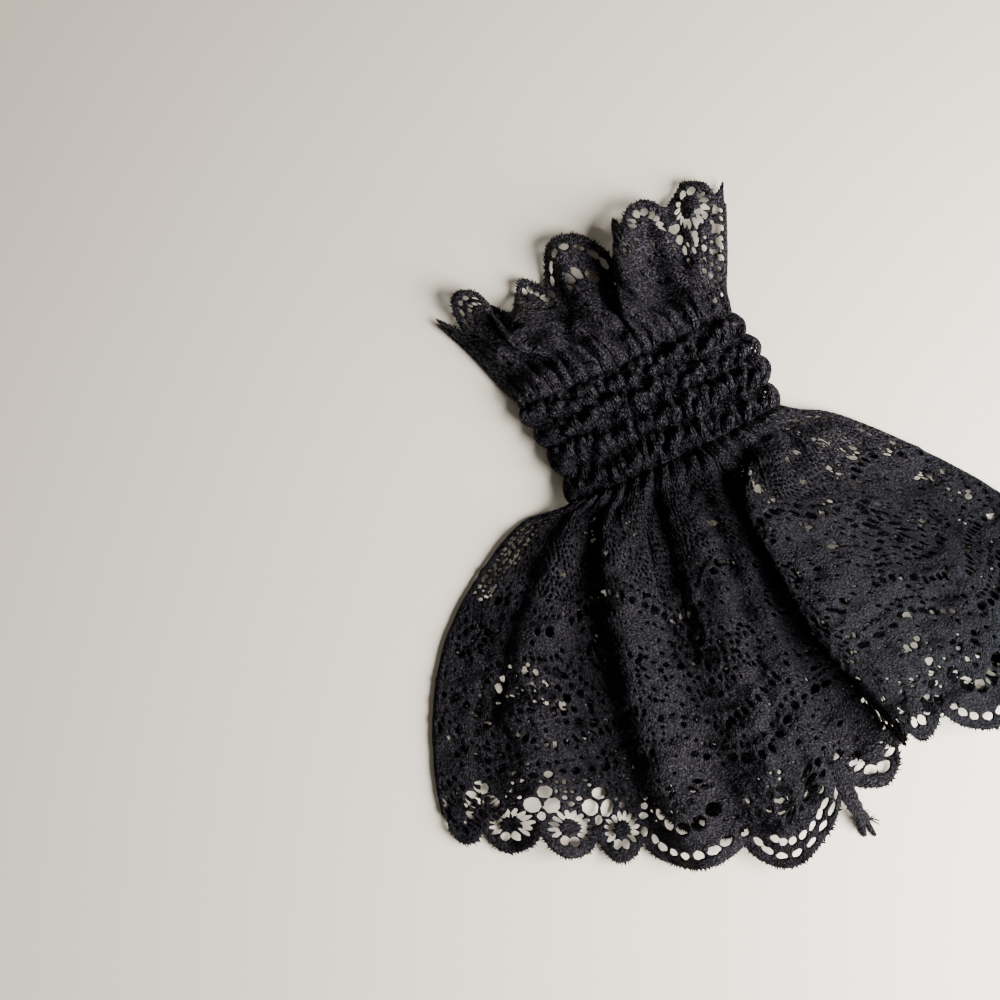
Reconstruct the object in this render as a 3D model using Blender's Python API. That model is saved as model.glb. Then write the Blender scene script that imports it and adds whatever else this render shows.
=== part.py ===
"""A wrist cuff of scalloped lace, lying flat on a table.

One strip of lace with a scalloped border along both long sides is closed to a
tube by one seam. Five rows of elastic thread gather it to the wrist, a quarter
of the way down, so that a short ruffle stands above the band and a long one
flares below it. The tube lies flat: the back layer rests on the table, and the
front layer lies on it with its folds.

A point of the cloth is given by u, the way along the strip, and v, the way
across it from the tip of the short ruffle to the tip of the long one. Sizes in
the tables are millimetres, +Z is up, and the origin is the middle of the
cuff's footprint on the table.
"""
import math

import bpy
import numpy as np
from mathutils import Vector
from mathutils.geometry import delaunay_2d_cdt

MM = 0.001

# The strip
STRIP_DEPTH = 215.0
FRONT_LENGTH = 290.0
BACK_LENGTH = 246.0
WALL = 1.2
GAP = 0.3

# The wrist band
BAND_TOP = 43.0
ELASTIC_ROWS = 5
ELASTIC_PITCH = 9.0
BAND_END = BAND_TOP + (ELASTIC_ROWS - 1) * ELASTIC_PITCH
BAND_RAMP = 7.0
BACK_BAND = 4.6
FRONT_BAND = 1.8
PUFF_HEIGHT = 3.4
PUFFS_ACROSS = 14
SIDE_PUFF = 2.6
THREAD_WIDTH = 1.0
THREAD_HEIGHT = 0.6

# The border: each repeat has small wheel scallops, then large ones
WHEELS = 4
WHEEL_WIDTH = 17.0
WHEEL_RISE = 6.5
FANS = 2
FAN_WIDTH = 33.0
FAN_RISE = 9.0
BORDER = 9.0
REPEAT = WHEELS * WHEEL_WIDTH + FANS * FAN_WIDTH
REPEAT_START = -2.0

# Small pleats that leave the band and die out in the ruffles
PLEATS = 9
PLEAT_HEIGHT = 2.0
PLEAT_FADE = 28.0

# The middle of the footprint, in the section table's own measure
FOOTPRINT_MIDDLE = (90.83, -5.2)

# The plan of the flattened tube: where each line across the cuff starts, bulges and ends
SECTION_COLUMNS = ("v", "left_x", "left_y", "middle_x", "middle_y", "right_x", "right_y")
SECTIONS = (
    (0.0, -21.3, 58.3, 30.8, 92.3, 79.0, 110.0),
    (21.0, -7.4, 46.7, 36.5, 69.5, 78.6, 86.5),
    (43.0, 7.4, 30.3, 43.4, 46.0, 78.8, 63.7),
    (61.0, 16.7, 16.9, 52.0, 32.0, 87.5, 48.8),
    (79.0, 23.9, -1.5, 59.5, 14.0, 93.6, 31.7),
    (95.0, 9.0, -7.3, 61.0, -0.5, 110.1, 30.0),
    (115.0, -4.0, -21.6, 63.2, -20.3, 128.6, 23.3),
    (140.0, -16.4, -43.4, 65.1, -45.1, 150.9, 12.3),
    (165.0, -21.5, -66.4, 65.1, -69.3, 171.8, -0.7),
    (190.0, -20.9, -90.2, 63.5, -93.0, 190.0, -15.9),
    (215.0, -16.9, -109.9, 63.6, -117.0, 203.6, -35.8),
)

# How much further than the plan the long ruffle's edge reaches
REACH_COLUMNS = ("across", "reach")
HEM_REACH = (
    (-1.0, 0.0),
    (-0.75, -4.0),
    (-0.5, -8.0),
    (-0.25, -4.0),
    (0.0, 1.0),
    (0.22, 12.0),
    (0.34, 7.0),
    (0.46, -1.0),
    (0.6, 1.0),
    (0.75, 7.0),
    (0.9, 5.0),
    (1.0, 0.0),
)

# The large folds of the front layer, each a ridge from the band to an edge.
# near, middle and far are its place across, from -1 at the left to 1 at the right,
# and runs is the share of the ruffle that it crosses. A negative height is a crease.
FOLD_COLUMNS = ("name", "ruffle", "near", "middle", "far", "half_width", "height", "lean", "runs")
FOLDS = (
    ("left lobe", "long", -0.85, -0.66, -0.46, 20.0, 5.5, 0.0, 1.3),
    ("left pleat", "long", -0.44, -0.21, 0.04, 16.0, 8.0, 4.0, 1.3),
    ("pleat crease", "long", -0.26, -0.02, 0.10, 5.0, -2.5, 0.0, 0.5),
    ("middle lobe", "long", 0.02, 0.13, 0.26, 22.0, 6.5, 0.0, 1.3),
    ("great fold", "long", 0.62, 0.62, 0.70, 24.0, 12.5, 30.0, 1.3),
    ("right crease", "long", 0.56, 0.66, 0.66, 5.0, -3.0, 0.0, 0.5),
    ("right pleat", "long", 0.88, 0.90, 0.92, 13.0, 3.0, 0.0, 1.3),
    ("left roll", "short", -0.12, -0.50, -0.80, 13.0, 7.0, 5.0, 1.3),
    ("low roll", "short", -0.74, -0.86, -0.94, 9.0, 3.0, 0.0, 1.3),
    ("middle lobe", "short", 0.02, -0.08, -0.16, 12.0, 4.5, 3.0, 1.3),
    ("overlap", "short", 0.36, 0.38, 0.42, 14.0, 9.0, 13.0, 1.3),
    ("right lobe", "short", 0.80, 0.82, 0.84, 12.0, 5.0, 3.0, 1.3),
)

# The share of each ruffle over which its folds rise to their full height
FOLD_OPENS = {"long": 0.28, "short": 0.4}

# The largest gaps of one repeat, cut through both layers at both edges: three above
# the notch between two wheels, and an arc of round ones in the first fan.
# offset is the way along from the notch, inward the way from the edge.
GAP_COLUMNS = ("offset", "inward", "width", "depth")
WHEEL_GAPS = (
    (0.0, 26.5, 4.2, 4.6),
    (-2.8, 21.4, 4.4, 5.8),
    (2.8, 21.4, 4.4, 5.8),
)
FAN_GAPS = 5
FAN_GAP_SIZE = 4.3
FAN_ARC_RADIUS = 10.4
FAN_ARC_INWARD = 24.0
FAN_ARC_STEP = math.radians(28.6)
GAP_SIDES = 6
GAP_CLEAR = 1.9

# The seam's loose end, which leaves the tube at the long ruffle's edge
TAIL_COLUMNS = ("x", "y", "z", "half_width")
TAIL = (
    (106.5, -86.0, 5.9, 2.2),
    (109.0, -92.5, 5.7, 2.8),
    (112.0, -100.5, 5.2, 2.6),
    (115.5, -106.0, 3.8, 1.9),
    (118.5, -109.5, 1.4, 1.4),
    (121.5, -112.0, 0.3, 0.7),
)
TAIL_THICK = 1.1

# Materials: name, colour, roughness
LACE_BLACK = ("lace", (0.013, 0.012, 0.016), 0.78)
THREAD_BLACK = ("shirring_thread", (0.018, 0.017, 0.022), 0.6)
TAIL_BLACK = ("seam_tail", (0.015, 0.014, 0.018), 0.85)

ROW_SAMPLES = 181


def clear_scene():
    """Remove what the file opened with."""
    for item in list(bpy.data.objects):
        bpy.data.objects.remove(item, do_unlink=True)


def column(table, columns, name):
    """One named column of a table, as an array."""
    place = columns.index(name)
    return np.array([row[place] for row in table])


def smooth_step(low, high, value):
    """0 below low, 1 above high, with a soft rise between them."""
    t = np.clip((value - low) / (high - low), 0.0, 1.0)
    return t * t * (3.0 - 2.0 * t)


def smooth_table(x, knots, values):
    """A smooth curve through a short table: cubic pieces with central slopes."""
    slopes = np.gradient(values, knots)
    place = np.clip(np.searchsorted(knots, x, side="right") - 1, 0, len(knots) - 2)
    width = knots[place + 1] - knots[place]
    t = np.clip((x - knots[place]) / width, 0.0, 1.0)
    start = (2 * t**3 - 3 * t**2 + 1) * values[place] + (t**3 - 2 * t**2 + t) * width * slopes[place]
    end = (3 * t**2 - 2 * t**3) * values[place + 1] + (t**3 - t**2) * width * slopes[place + 1]
    return start + end


def band_share(v, spread):
    """1 on the wrist band, falling to 0 over the ramp and the spread beyond it."""
    rise = smooth_step(BAND_TOP - BAND_RAMP - spread, BAND_TOP - spread, v)
    return rise * (1.0 - smooth_step(BAND_END + spread, BAND_END + spread + BAND_RAMP, v))


def puff_row(v):
    """0 on each row of elastic and 1 halfway to the next."""
    inside = (v >= BAND_TOP) & (v <= BAND_END)
    wave = np.sin(math.pi * (v - BAND_TOP) / ELASTIC_PITCH) ** 2
    return np.where(inside, wave, 0.0)


def border_rise(u):
    """How far the scallops stand out from the notches between them, at u."""
    along = np.mod(np.asarray(u, float) - REPEAT_START, REPEAT)
    wheels_end = WHEELS * WHEEL_WIDTH
    wheel = np.mod(along, WHEEL_WIDTH) / WHEEL_WIDTH
    fan = np.mod(along - wheels_end, FAN_WIDTH) / FAN_WIDTH
    wheel_rise = WHEEL_RISE * np.sqrt(np.clip(1.0 - (2.0 * wheel - 1.0) ** 2, 0.0, 1.0))
    fan_rise = FAN_RISE * np.sqrt(np.clip(1.0 - (2.0 * fan - 1.0) ** 2, 0.0, 1.0))
    return np.where(along < wheels_end, wheel_rise, fan_rise)


def plan(s, v):
    """Table place of the flattened tube at s across it and v down it, before its folds."""
    knots = column(SECTIONS, SECTION_COLUMNS, "v")
    spots = {}
    for name in SECTION_COLUMNS[1:]:
        spots[name] = smooth_table(v, knots, column(SECTIONS, SECTION_COLUMNS, name))
    place = []
    chord = []
    for axis in ("x", "y"):
        left = spots["left_" + axis]
        middle = spots["middle_" + axis]
        right = spots["right_" + axis]
        place.append(middle + 0.5 * (right - left) * s + (0.5 * (left + right) - middle) * s * s)
        chord.append(right - left)
    width = np.hypot(chord[0], chord[1])
    along = (chord[0] / width, chord[1] / width)
    reach = smooth_table(
        s, column(HEM_REACH, REACH_COLUMNS, "across"), column(HEM_REACH, REACH_COLUMNS, "reach")
    )
    reach = reach * smooth_step(150.0, STRIP_DEPTH, v)
    side = SIDE_PUFF * puff_row(v) * np.sign(s) * np.abs(s) ** 3
    x = place[0] + along[0] * side + along[1] * reach - FOOTPRINT_MIDDLE[0]
    y = place[1] + along[1] * side - along[0] * reach - FOOTPRINT_MIDDLE[1]
    return x, y, along, 0.5 * width


def fold_place(fold, v):
    """Where a fold's crest lies across the cuff, and how fully it stands, at v."""
    if fold["ruffle"] == "long":
        t = (v - BAND_END) / (STRIP_DEPTH - BAND_END)
    else:
        t = (BAND_TOP - v) / BAND_TOP
    crest = smooth_table(t, np.array([0.0, 0.5, 1.0]), np.array([fold["near"], fold["middle"], fold["far"]]))
    fades = 1.0 - smooth_step(fold["runs"] - 0.25, fold["runs"], t)
    return crest, smooth_step(-0.02, FOLD_OPENS[fold["ruffle"]], t) * fades


def front_sheet(s, v):
    """The underside of the front layer: the plan, raised and shifted by each fold."""
    x, y, along, half = plan(s, v)
    z = WALL + GAP + (BACK_BAND - WALL) * band_share(v, 6.0)
    edge = 1.0 - np.abs(s) ** 8
    shift = np.zeros_like(z * s)
    lift = np.zeros_like(z * s)
    for row in FOLDS:
        fold = dict(zip(FOLD_COLUMNS, row))
        crest, stands = fold_place(fold, v)
        off = np.clip((s - crest) * half / fold["half_width"], -1.0, 1.0)
        shape = np.cos(0.5 * math.pi * off) ** 2 * stands * edge
        lift = lift + fold["height"] * shape
        shift = shift - fold["lean"] * shape
    beyond = np.maximum(BAND_TOP - v, v - BAND_END)
    fading = smooth_step(0.0, 4.0, beyond) * np.exp(-((beyond / PLEAT_FADE) ** 2))
    pleats = 0.5 - 0.5 * np.cos(math.pi * PLEATS * (s + 1.0))
    lift = lift + PLEAT_HEIGHT * pleats * fading * edge
    lift = np.maximum(lift, 0.0)
    return np.stack([x + along[0] * shift, y + along[1] * shift, z + lift], axis=-1)


def back_sheet(s, v):
    """The underside of the back layer, flat on the table."""
    x, y, along, half = plan(s, v)
    return np.stack([x, y, np.zeros_like(x)], axis=-1)


def front_wall(s, v):
    """Wall of the front layer: plain in the ruffles, raised in puffs on the band."""
    across = (s + 1.0) * 0.5 * PUFFS_ACROSS
    row = np.floor((v - BAND_TOP) / ELASTIC_PITCH)
    puffs = 0.45 + 0.55 * np.cos(math.pi * (across + 0.5 * row)) ** 2
    rounded = 1.0 - np.abs(s) ** 6
    raised = FRONT_BAND - WALL + PUFF_HEIGHT * puffs * puff_row(v) * (0.3 + 0.7 * rounded)
    return WALL + band_share(v, 0.0) * raised


def back_wall(s, v):
    """Wall of the back layer: the gathers make it thick under the band."""
    return WALL + (BACK_BAND - WALL) * band_share(v, 0.0) * np.ones_like(s)


def across_from_strip(sheet, share, v):
    """The s at which a row of the sheet has run a given share of its own length."""
    samples = np.linspace(-1.0, 1.0, ROW_SAMPLES)
    found = []
    for part, row in zip(share, v):
        line = sheet(samples, np.full(ROW_SAMPLES, row))
        steps = np.linalg.norm(np.diff(line, axis=0), axis=1)
        run = np.concatenate([[0.0], np.cumsum(steps)])
        found.append(np.interp(part, run / run[-1], samples))
    return np.array(found)


def edge_line(start, end):
    """Places along u where the border needs a point: notches, flanks and tips."""
    wheel_steps = (0.0, 0.1, 0.33, 0.67, 0.9)
    fan_steps = (0.0, 0.05, 0.2, 0.4, 0.6, 0.8, 0.95)
    places = []
    first = math.floor((start - REPEAT_START) / REPEAT)
    last = math.ceil((end - REPEAT_START) / REPEAT)
    for repeat in range(first, last + 1):
        base = REPEAT_START + repeat * REPEAT
        for wheel in range(WHEELS):
            places += [base + (wheel + t) * WHEEL_WIDTH for t in wheel_steps]
        base += WHEELS * WHEEL_WIDTH
        for fan in range(FANS):
            places += [base + (fan + t) * FAN_WIDTH for t in fan_steps]
    inner = [u for u in places if start + 1.2 < u < end - 1.2]
    return np.array([start] + inner + [end])


def fan_gaps():
    """The arc of round gaps in a fan, as rows of the gap table."""
    rows = []
    for k in range(FAN_GAPS):
        turn = (k - 0.5 * (FAN_GAPS - 1)) * FAN_ARC_STEP
        offset = FAN_ARC_RADIUS * math.sin(turn)
        inward = FAN_ARC_INWARD - FAN_ARC_RADIUS * math.cos(turn)
        rows.append((offset, inward, FAN_GAP_SIZE, FAN_GAP_SIZE))
    return rows


def gap_list(start, end):
    """Each large gap between start and end: its middle, width and depth."""
    gaps = []
    first = math.floor((start - REPEAT_START) / REPEAT)
    last = math.ceil((end - REPEAT_START) / REPEAT)
    for repeat in range(first, last + 1):
        base = REPEAT_START + repeat * REPEAT
        motifs = [(base + (k + 1) * WHEEL_WIDTH, WHEEL_GAPS) for k in range(WHEELS - 1)]
        motifs.append((base + WHEELS * WHEEL_WIDTH + 0.5 * FAN_WIDTH, fan_gaps()))
        for middle, table in motifs:
            for row in table:
                gap = dict(zip(GAP_COLUMNS, row))
                u = middle + gap["offset"]
                if start + 5.0 < u < end - 5.0:
                    gaps.append((u, gap["inward"], gap["width"], gap["depth"]))
                    gaps.append((u, STRIP_DEPTH - gap["inward"], gap["width"], gap["depth"]))
    return gaps


def cloth_net(start, end, rows, band_columns, step, dense):
    """Triangles of the cut cloth in u and v, with the scallops and the gaps left out."""
    edge = edge_line(start, end)
    top = BORDER - border_rise(edge)
    hem = STRIP_DEPTH - BORDER + border_rise(edge)
    side_rows = [v for v in rows if BORDER + 2.0 < v < STRIP_DEPTH - BORDER - 2.0]
    loop = [(u, v) for u, v in zip(edge, hem)]
    loop += [(end, v) for v in reversed(side_rows)]
    loop += [(u, v) for u, v in zip(edge[::-1], top[::-1])]
    loop += [(start, v) for v in side_rows]
    points = list(loop)
    lines = [(k, (k + 1) % len(loop)) for k in range(len(loop))]

    gaps = gap_list(start, end)
    for u, v, width, depth in gaps:
        base = len(points)
        for k in range(GAP_SIDES):
            turn = 2.0 * math.pi * (k + 0.5) / GAP_SIDES
            points.append((u + 0.5 * width * math.cos(turn), v + 0.5 * depth * math.sin(turn)))
            lines.append((base + k, base + (k + 1) % GAP_SIDES))

    for row in rows:
        if BAND_TOP - 0.1 <= row <= BAND_END + 0.1:
            columns = np.linspace(start, end, band_columns + 1)[1:-1]
            chain = [loop.index((start, row))] + [len(points) + k for k in range(len(columns))]
            chain.append(loop.index((end, row)))
            lines += list(zip(chain[:-1], chain[1:]))
        else:
            columns = np.linspace(start, end, int(round((end - start) / step)) + 1)[1:-1]
            columns = np.concatenate([columns, [u for u in dense if start < u < end]])
        for u in columns:
            rise = float(border_rise(u))
            inside = BORDER - rise + 2.4 < row < STRIP_DEPTH - BORDER + rise - 2.4
            near = [
                math.hypot((u - g[0]) / (0.5 * g[2] + GAP_CLEAR), (row - g[1]) / (0.5 * g[3] + GAP_CLEAR))
                for g in gaps
            ]
            if inside and (not near or min(near) > 1.0):
                points.append((float(u), float(row)))

    spots = [Vector(p) for p in points]
    verts, edges, faces, _, _, _ = delaunay_2d_cdt(spots, lines, [], 0, 1e-5)
    flat = np.array([tuple(p) for p in verts])
    net = np.array([tuple(f) for f in faces])
    middle = flat[net].mean(axis=1)
    keep = middle[:, 1] > np.interp(middle[:, 0], edge, top)
    keep &= middle[:, 1] < np.interp(middle[:, 0], edge, hem)
    for u, v, width, depth in gaps:
        inside = np.hypot((middle[:, 0] - u) / (0.5 * width), (middle[:, 1] - v) / (0.5 * depth)) < 0.8
        keep &= ~inside
    return flat, net[keep]


def closed_wall(name, under, over, net, material):
    """One closed solid between two copies of a net, with a rim along every open edge."""
    used = np.unique(net)
    renumber = np.full(len(under), -1)
    renumber[used] = np.arange(len(used))
    net = renumber[net]
    under = under[used]
    over = over[used]
    count = len(used)
    directed = {}
    for a, b, c in net:
        for pair in ((a, b), (b, c), (c, a)):
            directed[pair] = True
    faces = [(int(a) + count, int(b) + count, int(c) + count) for a, b, c in net]
    faces += [(int(c), int(b), int(a)) for a, b, c in net]
    for a, b in directed:
        if (b, a) not in directed:
            faces.append((int(a), int(b), int(b) + count, int(a) + count))
    points = np.concatenate([under, over]) * MM
    return new_object(name, points, faces, material)


def new_object(name, points, faces, material):
    """A mesh object with one material, shaded smooth on its round parts."""
    mesh = bpy.data.meshes.new(name)
    mesh.from_pydata([tuple(p) for p in points], [], faces)
    mesh.validate()
    mesh.materials.append(material)
    mesh.shade_smooth()
    mesh.set_sharp_from_angle(angle=math.radians(50.0))
    item = bpy.data.objects.new(name, mesh)
    bpy.context.scene.collection.objects.link(item)
    return item


def new_material(recipe):
    """A plain Principled material from its name, colour and roughness."""
    name, colour, roughness = recipe
    material = bpy.data.materials.new(name)
    material.use_nodes = True
    shader = material.node_tree.nodes["Principled BSDF"]
    shader.inputs["Base Color"].default_value = (*colour, 1.0)
    shader.inputs["Roughness"].default_value = roughness
    shader.inputs["Metallic"].default_value = 0.0
    return material


def sheet_normal(sheet, s, v):
    """Upward unit normals of a sheet, from small steps along and across it."""
    ds = 0.004
    dv = 0.4
    along = sheet(np.clip(s + ds, -1, 1), v) - sheet(np.clip(s - ds, -1, 1), v)
    down = sheet(s, np.minimum(v + dv, STRIP_DEPTH)) - sheet(s, np.maximum(v - dv, 0.0))
    normal = np.cross(down, along)
    return normal / np.linalg.norm(normal, axis=1)[:, None]


def band_rows():
    """The rows of elastic and the middles of the puffs between them."""
    return [BAND_TOP + 0.5 * k * ELASTIC_PITCH for k in range(2 * ELASTIC_ROWS - 1)]


def make_front(material):
    """The front layer, with its folds, its puffed band and its gaps."""
    rows = [14.0, 20.0, 26.0, 31.5, 36.5, 40.0] + band_rows()
    rows += [82.0, 86.0, 91.0, 97.0] + [105.0 + 10.0 * k for k in range(9)] + [194.0, 202.0]
    dense = np.arange(150.0, 230.0, 5.0) + 2.5
    flat, net = cloth_net(0.0, FRONT_LENGTH, rows, 2 * PUFFS_ACROSS, 6.0, dense)
    s = across_from_strip(front_sheet, flat[:, 0] / FRONT_LENGTH, flat[:, 1])
    under = front_sheet(s, flat[:, 1])
    over = under + sheet_normal(front_sheet, s, flat[:, 1]) * front_wall(s, flat[:, 1])[:, None]
    return closed_wall("lace_front", under, over, net[:, ::-1], material)


def make_back(material):
    """The back layer, flat underneath, with the same scallops and gaps."""
    rows = [20.0, 34.0, 39.0, 43.0, 79.0, 84.0, 98.0, 125.0, 155.0, 185.0]
    flat, net = cloth_net(0.0, BACK_LENGTH, rows, 14, 17.0, [])
    s = across_from_strip(back_sheet, flat[:, 0] / BACK_LENGTH, flat[:, 1])
    under = back_sheet(s, flat[:, 1])
    over = under.copy()
    over[:, 2] = back_wall(s, flat[:, 1])
    return closed_wall("lace_back", under, over, net[:, ::-1], material)


def make_threads(material):
    """One elastic thread in each groove of the band's front, on the cloth."""
    stations = 15
    s = np.linspace(-0.93, 0.93, stations)
    groove = BACK_BAND + GAP + FRONT_BAND
    flank = PUFF_HEIGHT * THREAD_WIDTH / ELASTIC_PITCH
    for row in range(ELASTIC_ROWS):
        v = BAND_TOP + row * ELASTIC_PITCH
        rings = []
        for side, high in ((-1, 0), (1, 0), (1, 1), (-1, 1)):
            spot = front_sheet(s, np.full(stations, v + 0.5 * side * THREAD_WIDTH))
            spot[:, 2] = groove + flank + GAP + high * THREAD_HEIGHT
            rings.append(spot)
        points = np.stack(rings, axis=1).reshape(-1, 3)
        faces = []
        for k in range(stations - 1):
            for side in range(4):
                a = 4 * k + side
                b = 4 * k + (side + 1) % 4
                faces.append((b, a, a + 4, b + 4))
        faces.append((0, 1, 2, 3))
        end = 4 * (stations - 1)
        faces.append((end + 3, end + 2, end + 1, end))
        new_object(f"elastic_row_{row + 1}", points * MM, faces, material)


def make_tail(material):
    """The seam's loose end: a tapering tongue that comes down to the table."""
    spots = np.array([row[:3] for row in TAIL]) - np.array([*FOOTPRINT_MIDDLE, 0.0])
    half = column(TAIL, TAIL_COLUMNS, "half_width")
    along = np.gradient(spots[:, :2], axis=0)
    along = along / np.linalg.norm(along, axis=1)[:, None]
    side = np.stack([-along[:, 1], along[:, 0], np.zeros(len(TAIL))], axis=1)
    points = []
    for k in range(len(TAIL)):
        for way, high in ((1, 0), (-1, 0), (-1, 1), (1, 1)):
            spot = spots[k] + way * half[k] * side[k]
            points.append((spot[0], spot[1], spot[2] + high * TAIL_THICK))
    faces = [(0, 1, 2, 3)]
    for k in range(len(TAIL) - 1):
        for edge in range(4):
            a = 4 * k + edge
            b = 4 * k + (edge + 1) % 4
            faces.append((b, a, a + 4, b + 4))
    end = 4 * (len(TAIL) - 1)
    faces.append((end + 3, end + 2, end + 1, end))
    new_object("seam_tail", np.array(points) * MM, faces, material)


def main():
    clear_scene()
    lace = new_material(LACE_BLACK)
    make_back(lace)
    make_front(lace)
    make_threads(new_material(THREAD_BLACK))
    make_tail(new_material(TAIL_BLACK))


main()
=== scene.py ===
import math

import bpy
import numpy as np
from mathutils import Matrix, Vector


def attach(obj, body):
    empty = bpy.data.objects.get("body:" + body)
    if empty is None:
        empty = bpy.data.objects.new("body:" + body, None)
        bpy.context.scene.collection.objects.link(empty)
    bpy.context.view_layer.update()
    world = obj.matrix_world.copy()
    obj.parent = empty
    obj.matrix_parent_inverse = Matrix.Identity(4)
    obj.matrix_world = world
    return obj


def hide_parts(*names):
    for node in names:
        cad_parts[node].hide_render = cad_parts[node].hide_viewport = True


# The looks of a black lace wrist cuff that lies flat. The lace is drawn flat first,
# as signed distances to its threads in u, the way along the strip, and v, the way
# across it from the short ruffle's tip to the long one's. Then it is cut out of a
# folded surface that follows the one of the cuff's solids. Sizes are millimetres until
# a mesh is made.

MM = 0.001
UP = np.array([0.0, 0.0, 1.0])

# The strip, as in the solids
STRIP_DEPTH = 215.0
FRONT_LENGTH = 290.0
BACK_LENGTH = 246.0
WALL = 1.2
GAP = 0.3

# The wrist band
BAND_TOP = 43.0
ELASTIC_ROWS = 5
ELASTIC_PITCH = 9.0
BAND_END = BAND_TOP + (ELASTIC_ROWS - 1) * ELASTIC_PITCH
BAND_RAMP = 7.0
BACK_BAND = 4.6
SIDE_PUFF = 2.6
BAND_PRESS = 0.27

# The border: each repeat has small wheel scallops, then large fans
WHEELS = 4
WHEEL_WIDTH = 17.0
FANS = 2
FAN_WIDTH = 33.0
WHEELS_WIDTH = WHEELS * WHEEL_WIDTH
REPEAT = WHEELS_WIDTH + FANS * FAN_WIDTH
HALF_REPEAT = 0.5 * REPEAT
WHEELS_MIDDLE = 0.5 * WHEELS_WIDTH
FANS_MIDDLE = WHEELS_WIDTH + 0.5 * FANS * FAN_WIDTH
REPEAT_START = -2.0
FIRST_WHEELS = REPEAT_START + WHEELS_MIDDLE
TOP_START = -52.0

# How far in from the edge a wheel's middle lies, and half its scallop's depth: at the
# long ruffle's hem, and at the short ruffle's edge
WHEEL_SHAPE = {True: (13.4, 10.9), False: (11.0, 8.8)}
WHEEL_HALF = 8.9
FAN_HALF = 17.6
FAN_DEEP = 12.5
FAN_ARC_MIDDLE = 24.0
FAN_ARC = 10.4
TOP_OPEN = 0.97
SCALLOP_ROOT = 9.0

# The gathers: puffs along a row of the band, and the pleats that leave it, which are
# fewer and wider further out
PUFFS = 12.0
NEAR_PLEATS = 17.0
FAR_PLEATS = 9.0
BACK_PUCKERS = 20.0

# The middle of the cuff's footprint in the measure of the sections below
FOOTPRINT_MIDDLE = (90.83, -5.2)

# The photograph's view, from almost straight above and far to the left, and the level at
# which its lines of sight through the lace are taken to meet the back layer
CAMERA_FAR = 420.0
CAMERA_TILT = math.radians(80.0)
EYE = np.array(
    [
        -FOOTPRINT_MIDDLE[0],
        -FOOTPRINT_MIDDLE[1] - CAMERA_FAR * math.cos(CAMERA_TILT),
        CAMERA_FAR * math.sin(CAMERA_TILT),
    ]
)
BACK_LEVEL = 0.5

# Where each row v of the strip lies: its left end, middle and right end
SECTION_COLUMNS = ("v", "left_x", "left_y", "middle_x", "middle_y", "right_x", "right_y")
SECTIONS = (
    (0.0, -21.3, 58.3, 30.8, 92.3, 79.0, 110.0),
    (21.0, -7.4, 46.7, 36.5, 69.5, 78.6, 86.5),
    (43.0, 7.4, 30.3, 43.4, 46.0, 78.8, 63.7),
    (61.0, 16.7, 16.9, 52.0, 32.0, 87.5, 48.8),
    (79.0, 23.9, -1.5, 59.5, 14.0, 93.6, 31.7),
    (95.0, 9.0, -7.3, 61.0, -0.5, 110.1, 30.0),
    (115.0, -4.0, -21.6, 63.2, -20.3, 128.6, 23.3),
    (140.0, -16.4, -43.4, 65.1, -45.1, 150.9, 12.3),
    (165.0, -21.5, -66.4, 65.1, -69.3, 171.8, -0.7),
    (190.0, -20.9, -90.2, 63.5, -93.0, 190.0, -15.9),
    (215.0, -16.9, -109.9, 63.6, -117.0, 203.6, -35.8),
)

# How far the long ruffle's hem hangs beyond the sections, which grows over some rows v
REACH_ROWS = (150.0, STRIP_DEPTH)
REACH_COLUMNS = ("across", "reach")
HEM_REACH = (
    (-1.0, 0.0),
    (-0.75, -4.0),
    (-0.5, -8.0),
    (-0.25, -4.0),
    (0.0, 1.0),
    (0.22, 12.0),
    (0.34, 7.0),
    (0.46, -1.0),
    (0.6, 1.0),
    (0.75, 7.0),
    (0.9, 5.0),
    (1.0, 0.0),
)

# How far the two edges are drawn past the sections' lines, to the right and up, and the
# rows over which that fades in or out
TOP_MOVE_ROWS = (9.0, 38.0)
HEM_MOVE_ROWS = (165.0, 210.0)
MOVE_COLUMNS = ("across", "right", "up")
TOP_MOVES = (
    (-1.0, -1.5, 3.2),
    (-0.9, -0.5, 1.2),
    (-0.76, -2.3, 5.0),
    (-0.67, -1.0, 2.0),
    (-0.6, 0.5, -8.0),
    (-0.53, 0.0, -1.0),
    (-0.47, -0.5, 0.0),
    (-0.4, 0.0, -1.0),
    (-0.22, -1.8, 3.5),
    (-0.05, -1.5, 3.0),
    (0.1, 0.0, -2.0),
    (0.2, 1.0, -5.0),
    (0.32, 0.0, 1.5),
    (0.42, 0.5, 6.5),
    (0.5, 1.2, 8.0),
    (0.6, -0.5, 7.0),
    (0.72, -1.5, 8.5),
    (0.86, 0.0, 8.5),
    (1.0, 0.0, 5.5),
)
HEM_MOVES = (
    (-1.0, 0.0, 0.0),
    (0.2, 0.0, 0.0),
    (0.32, 0.0, 0.0),
    (0.4, 0.3, -1.5),
    (0.44, 1.3, -5.0),
    (0.48, 2.3, -8.0),
    (0.52, 2.7, -5.3),
    (0.57, 3.2, 1.6),
    (0.64, 4.3, 3.8),
    (0.7, 3.0, 2.4),
    (0.76, 0.5, 0.0),
    (0.8, 0.0, -4.5),
    (0.86, 0.0, -3.5),
    (1.0, 0.0, 0.0),
)

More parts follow.
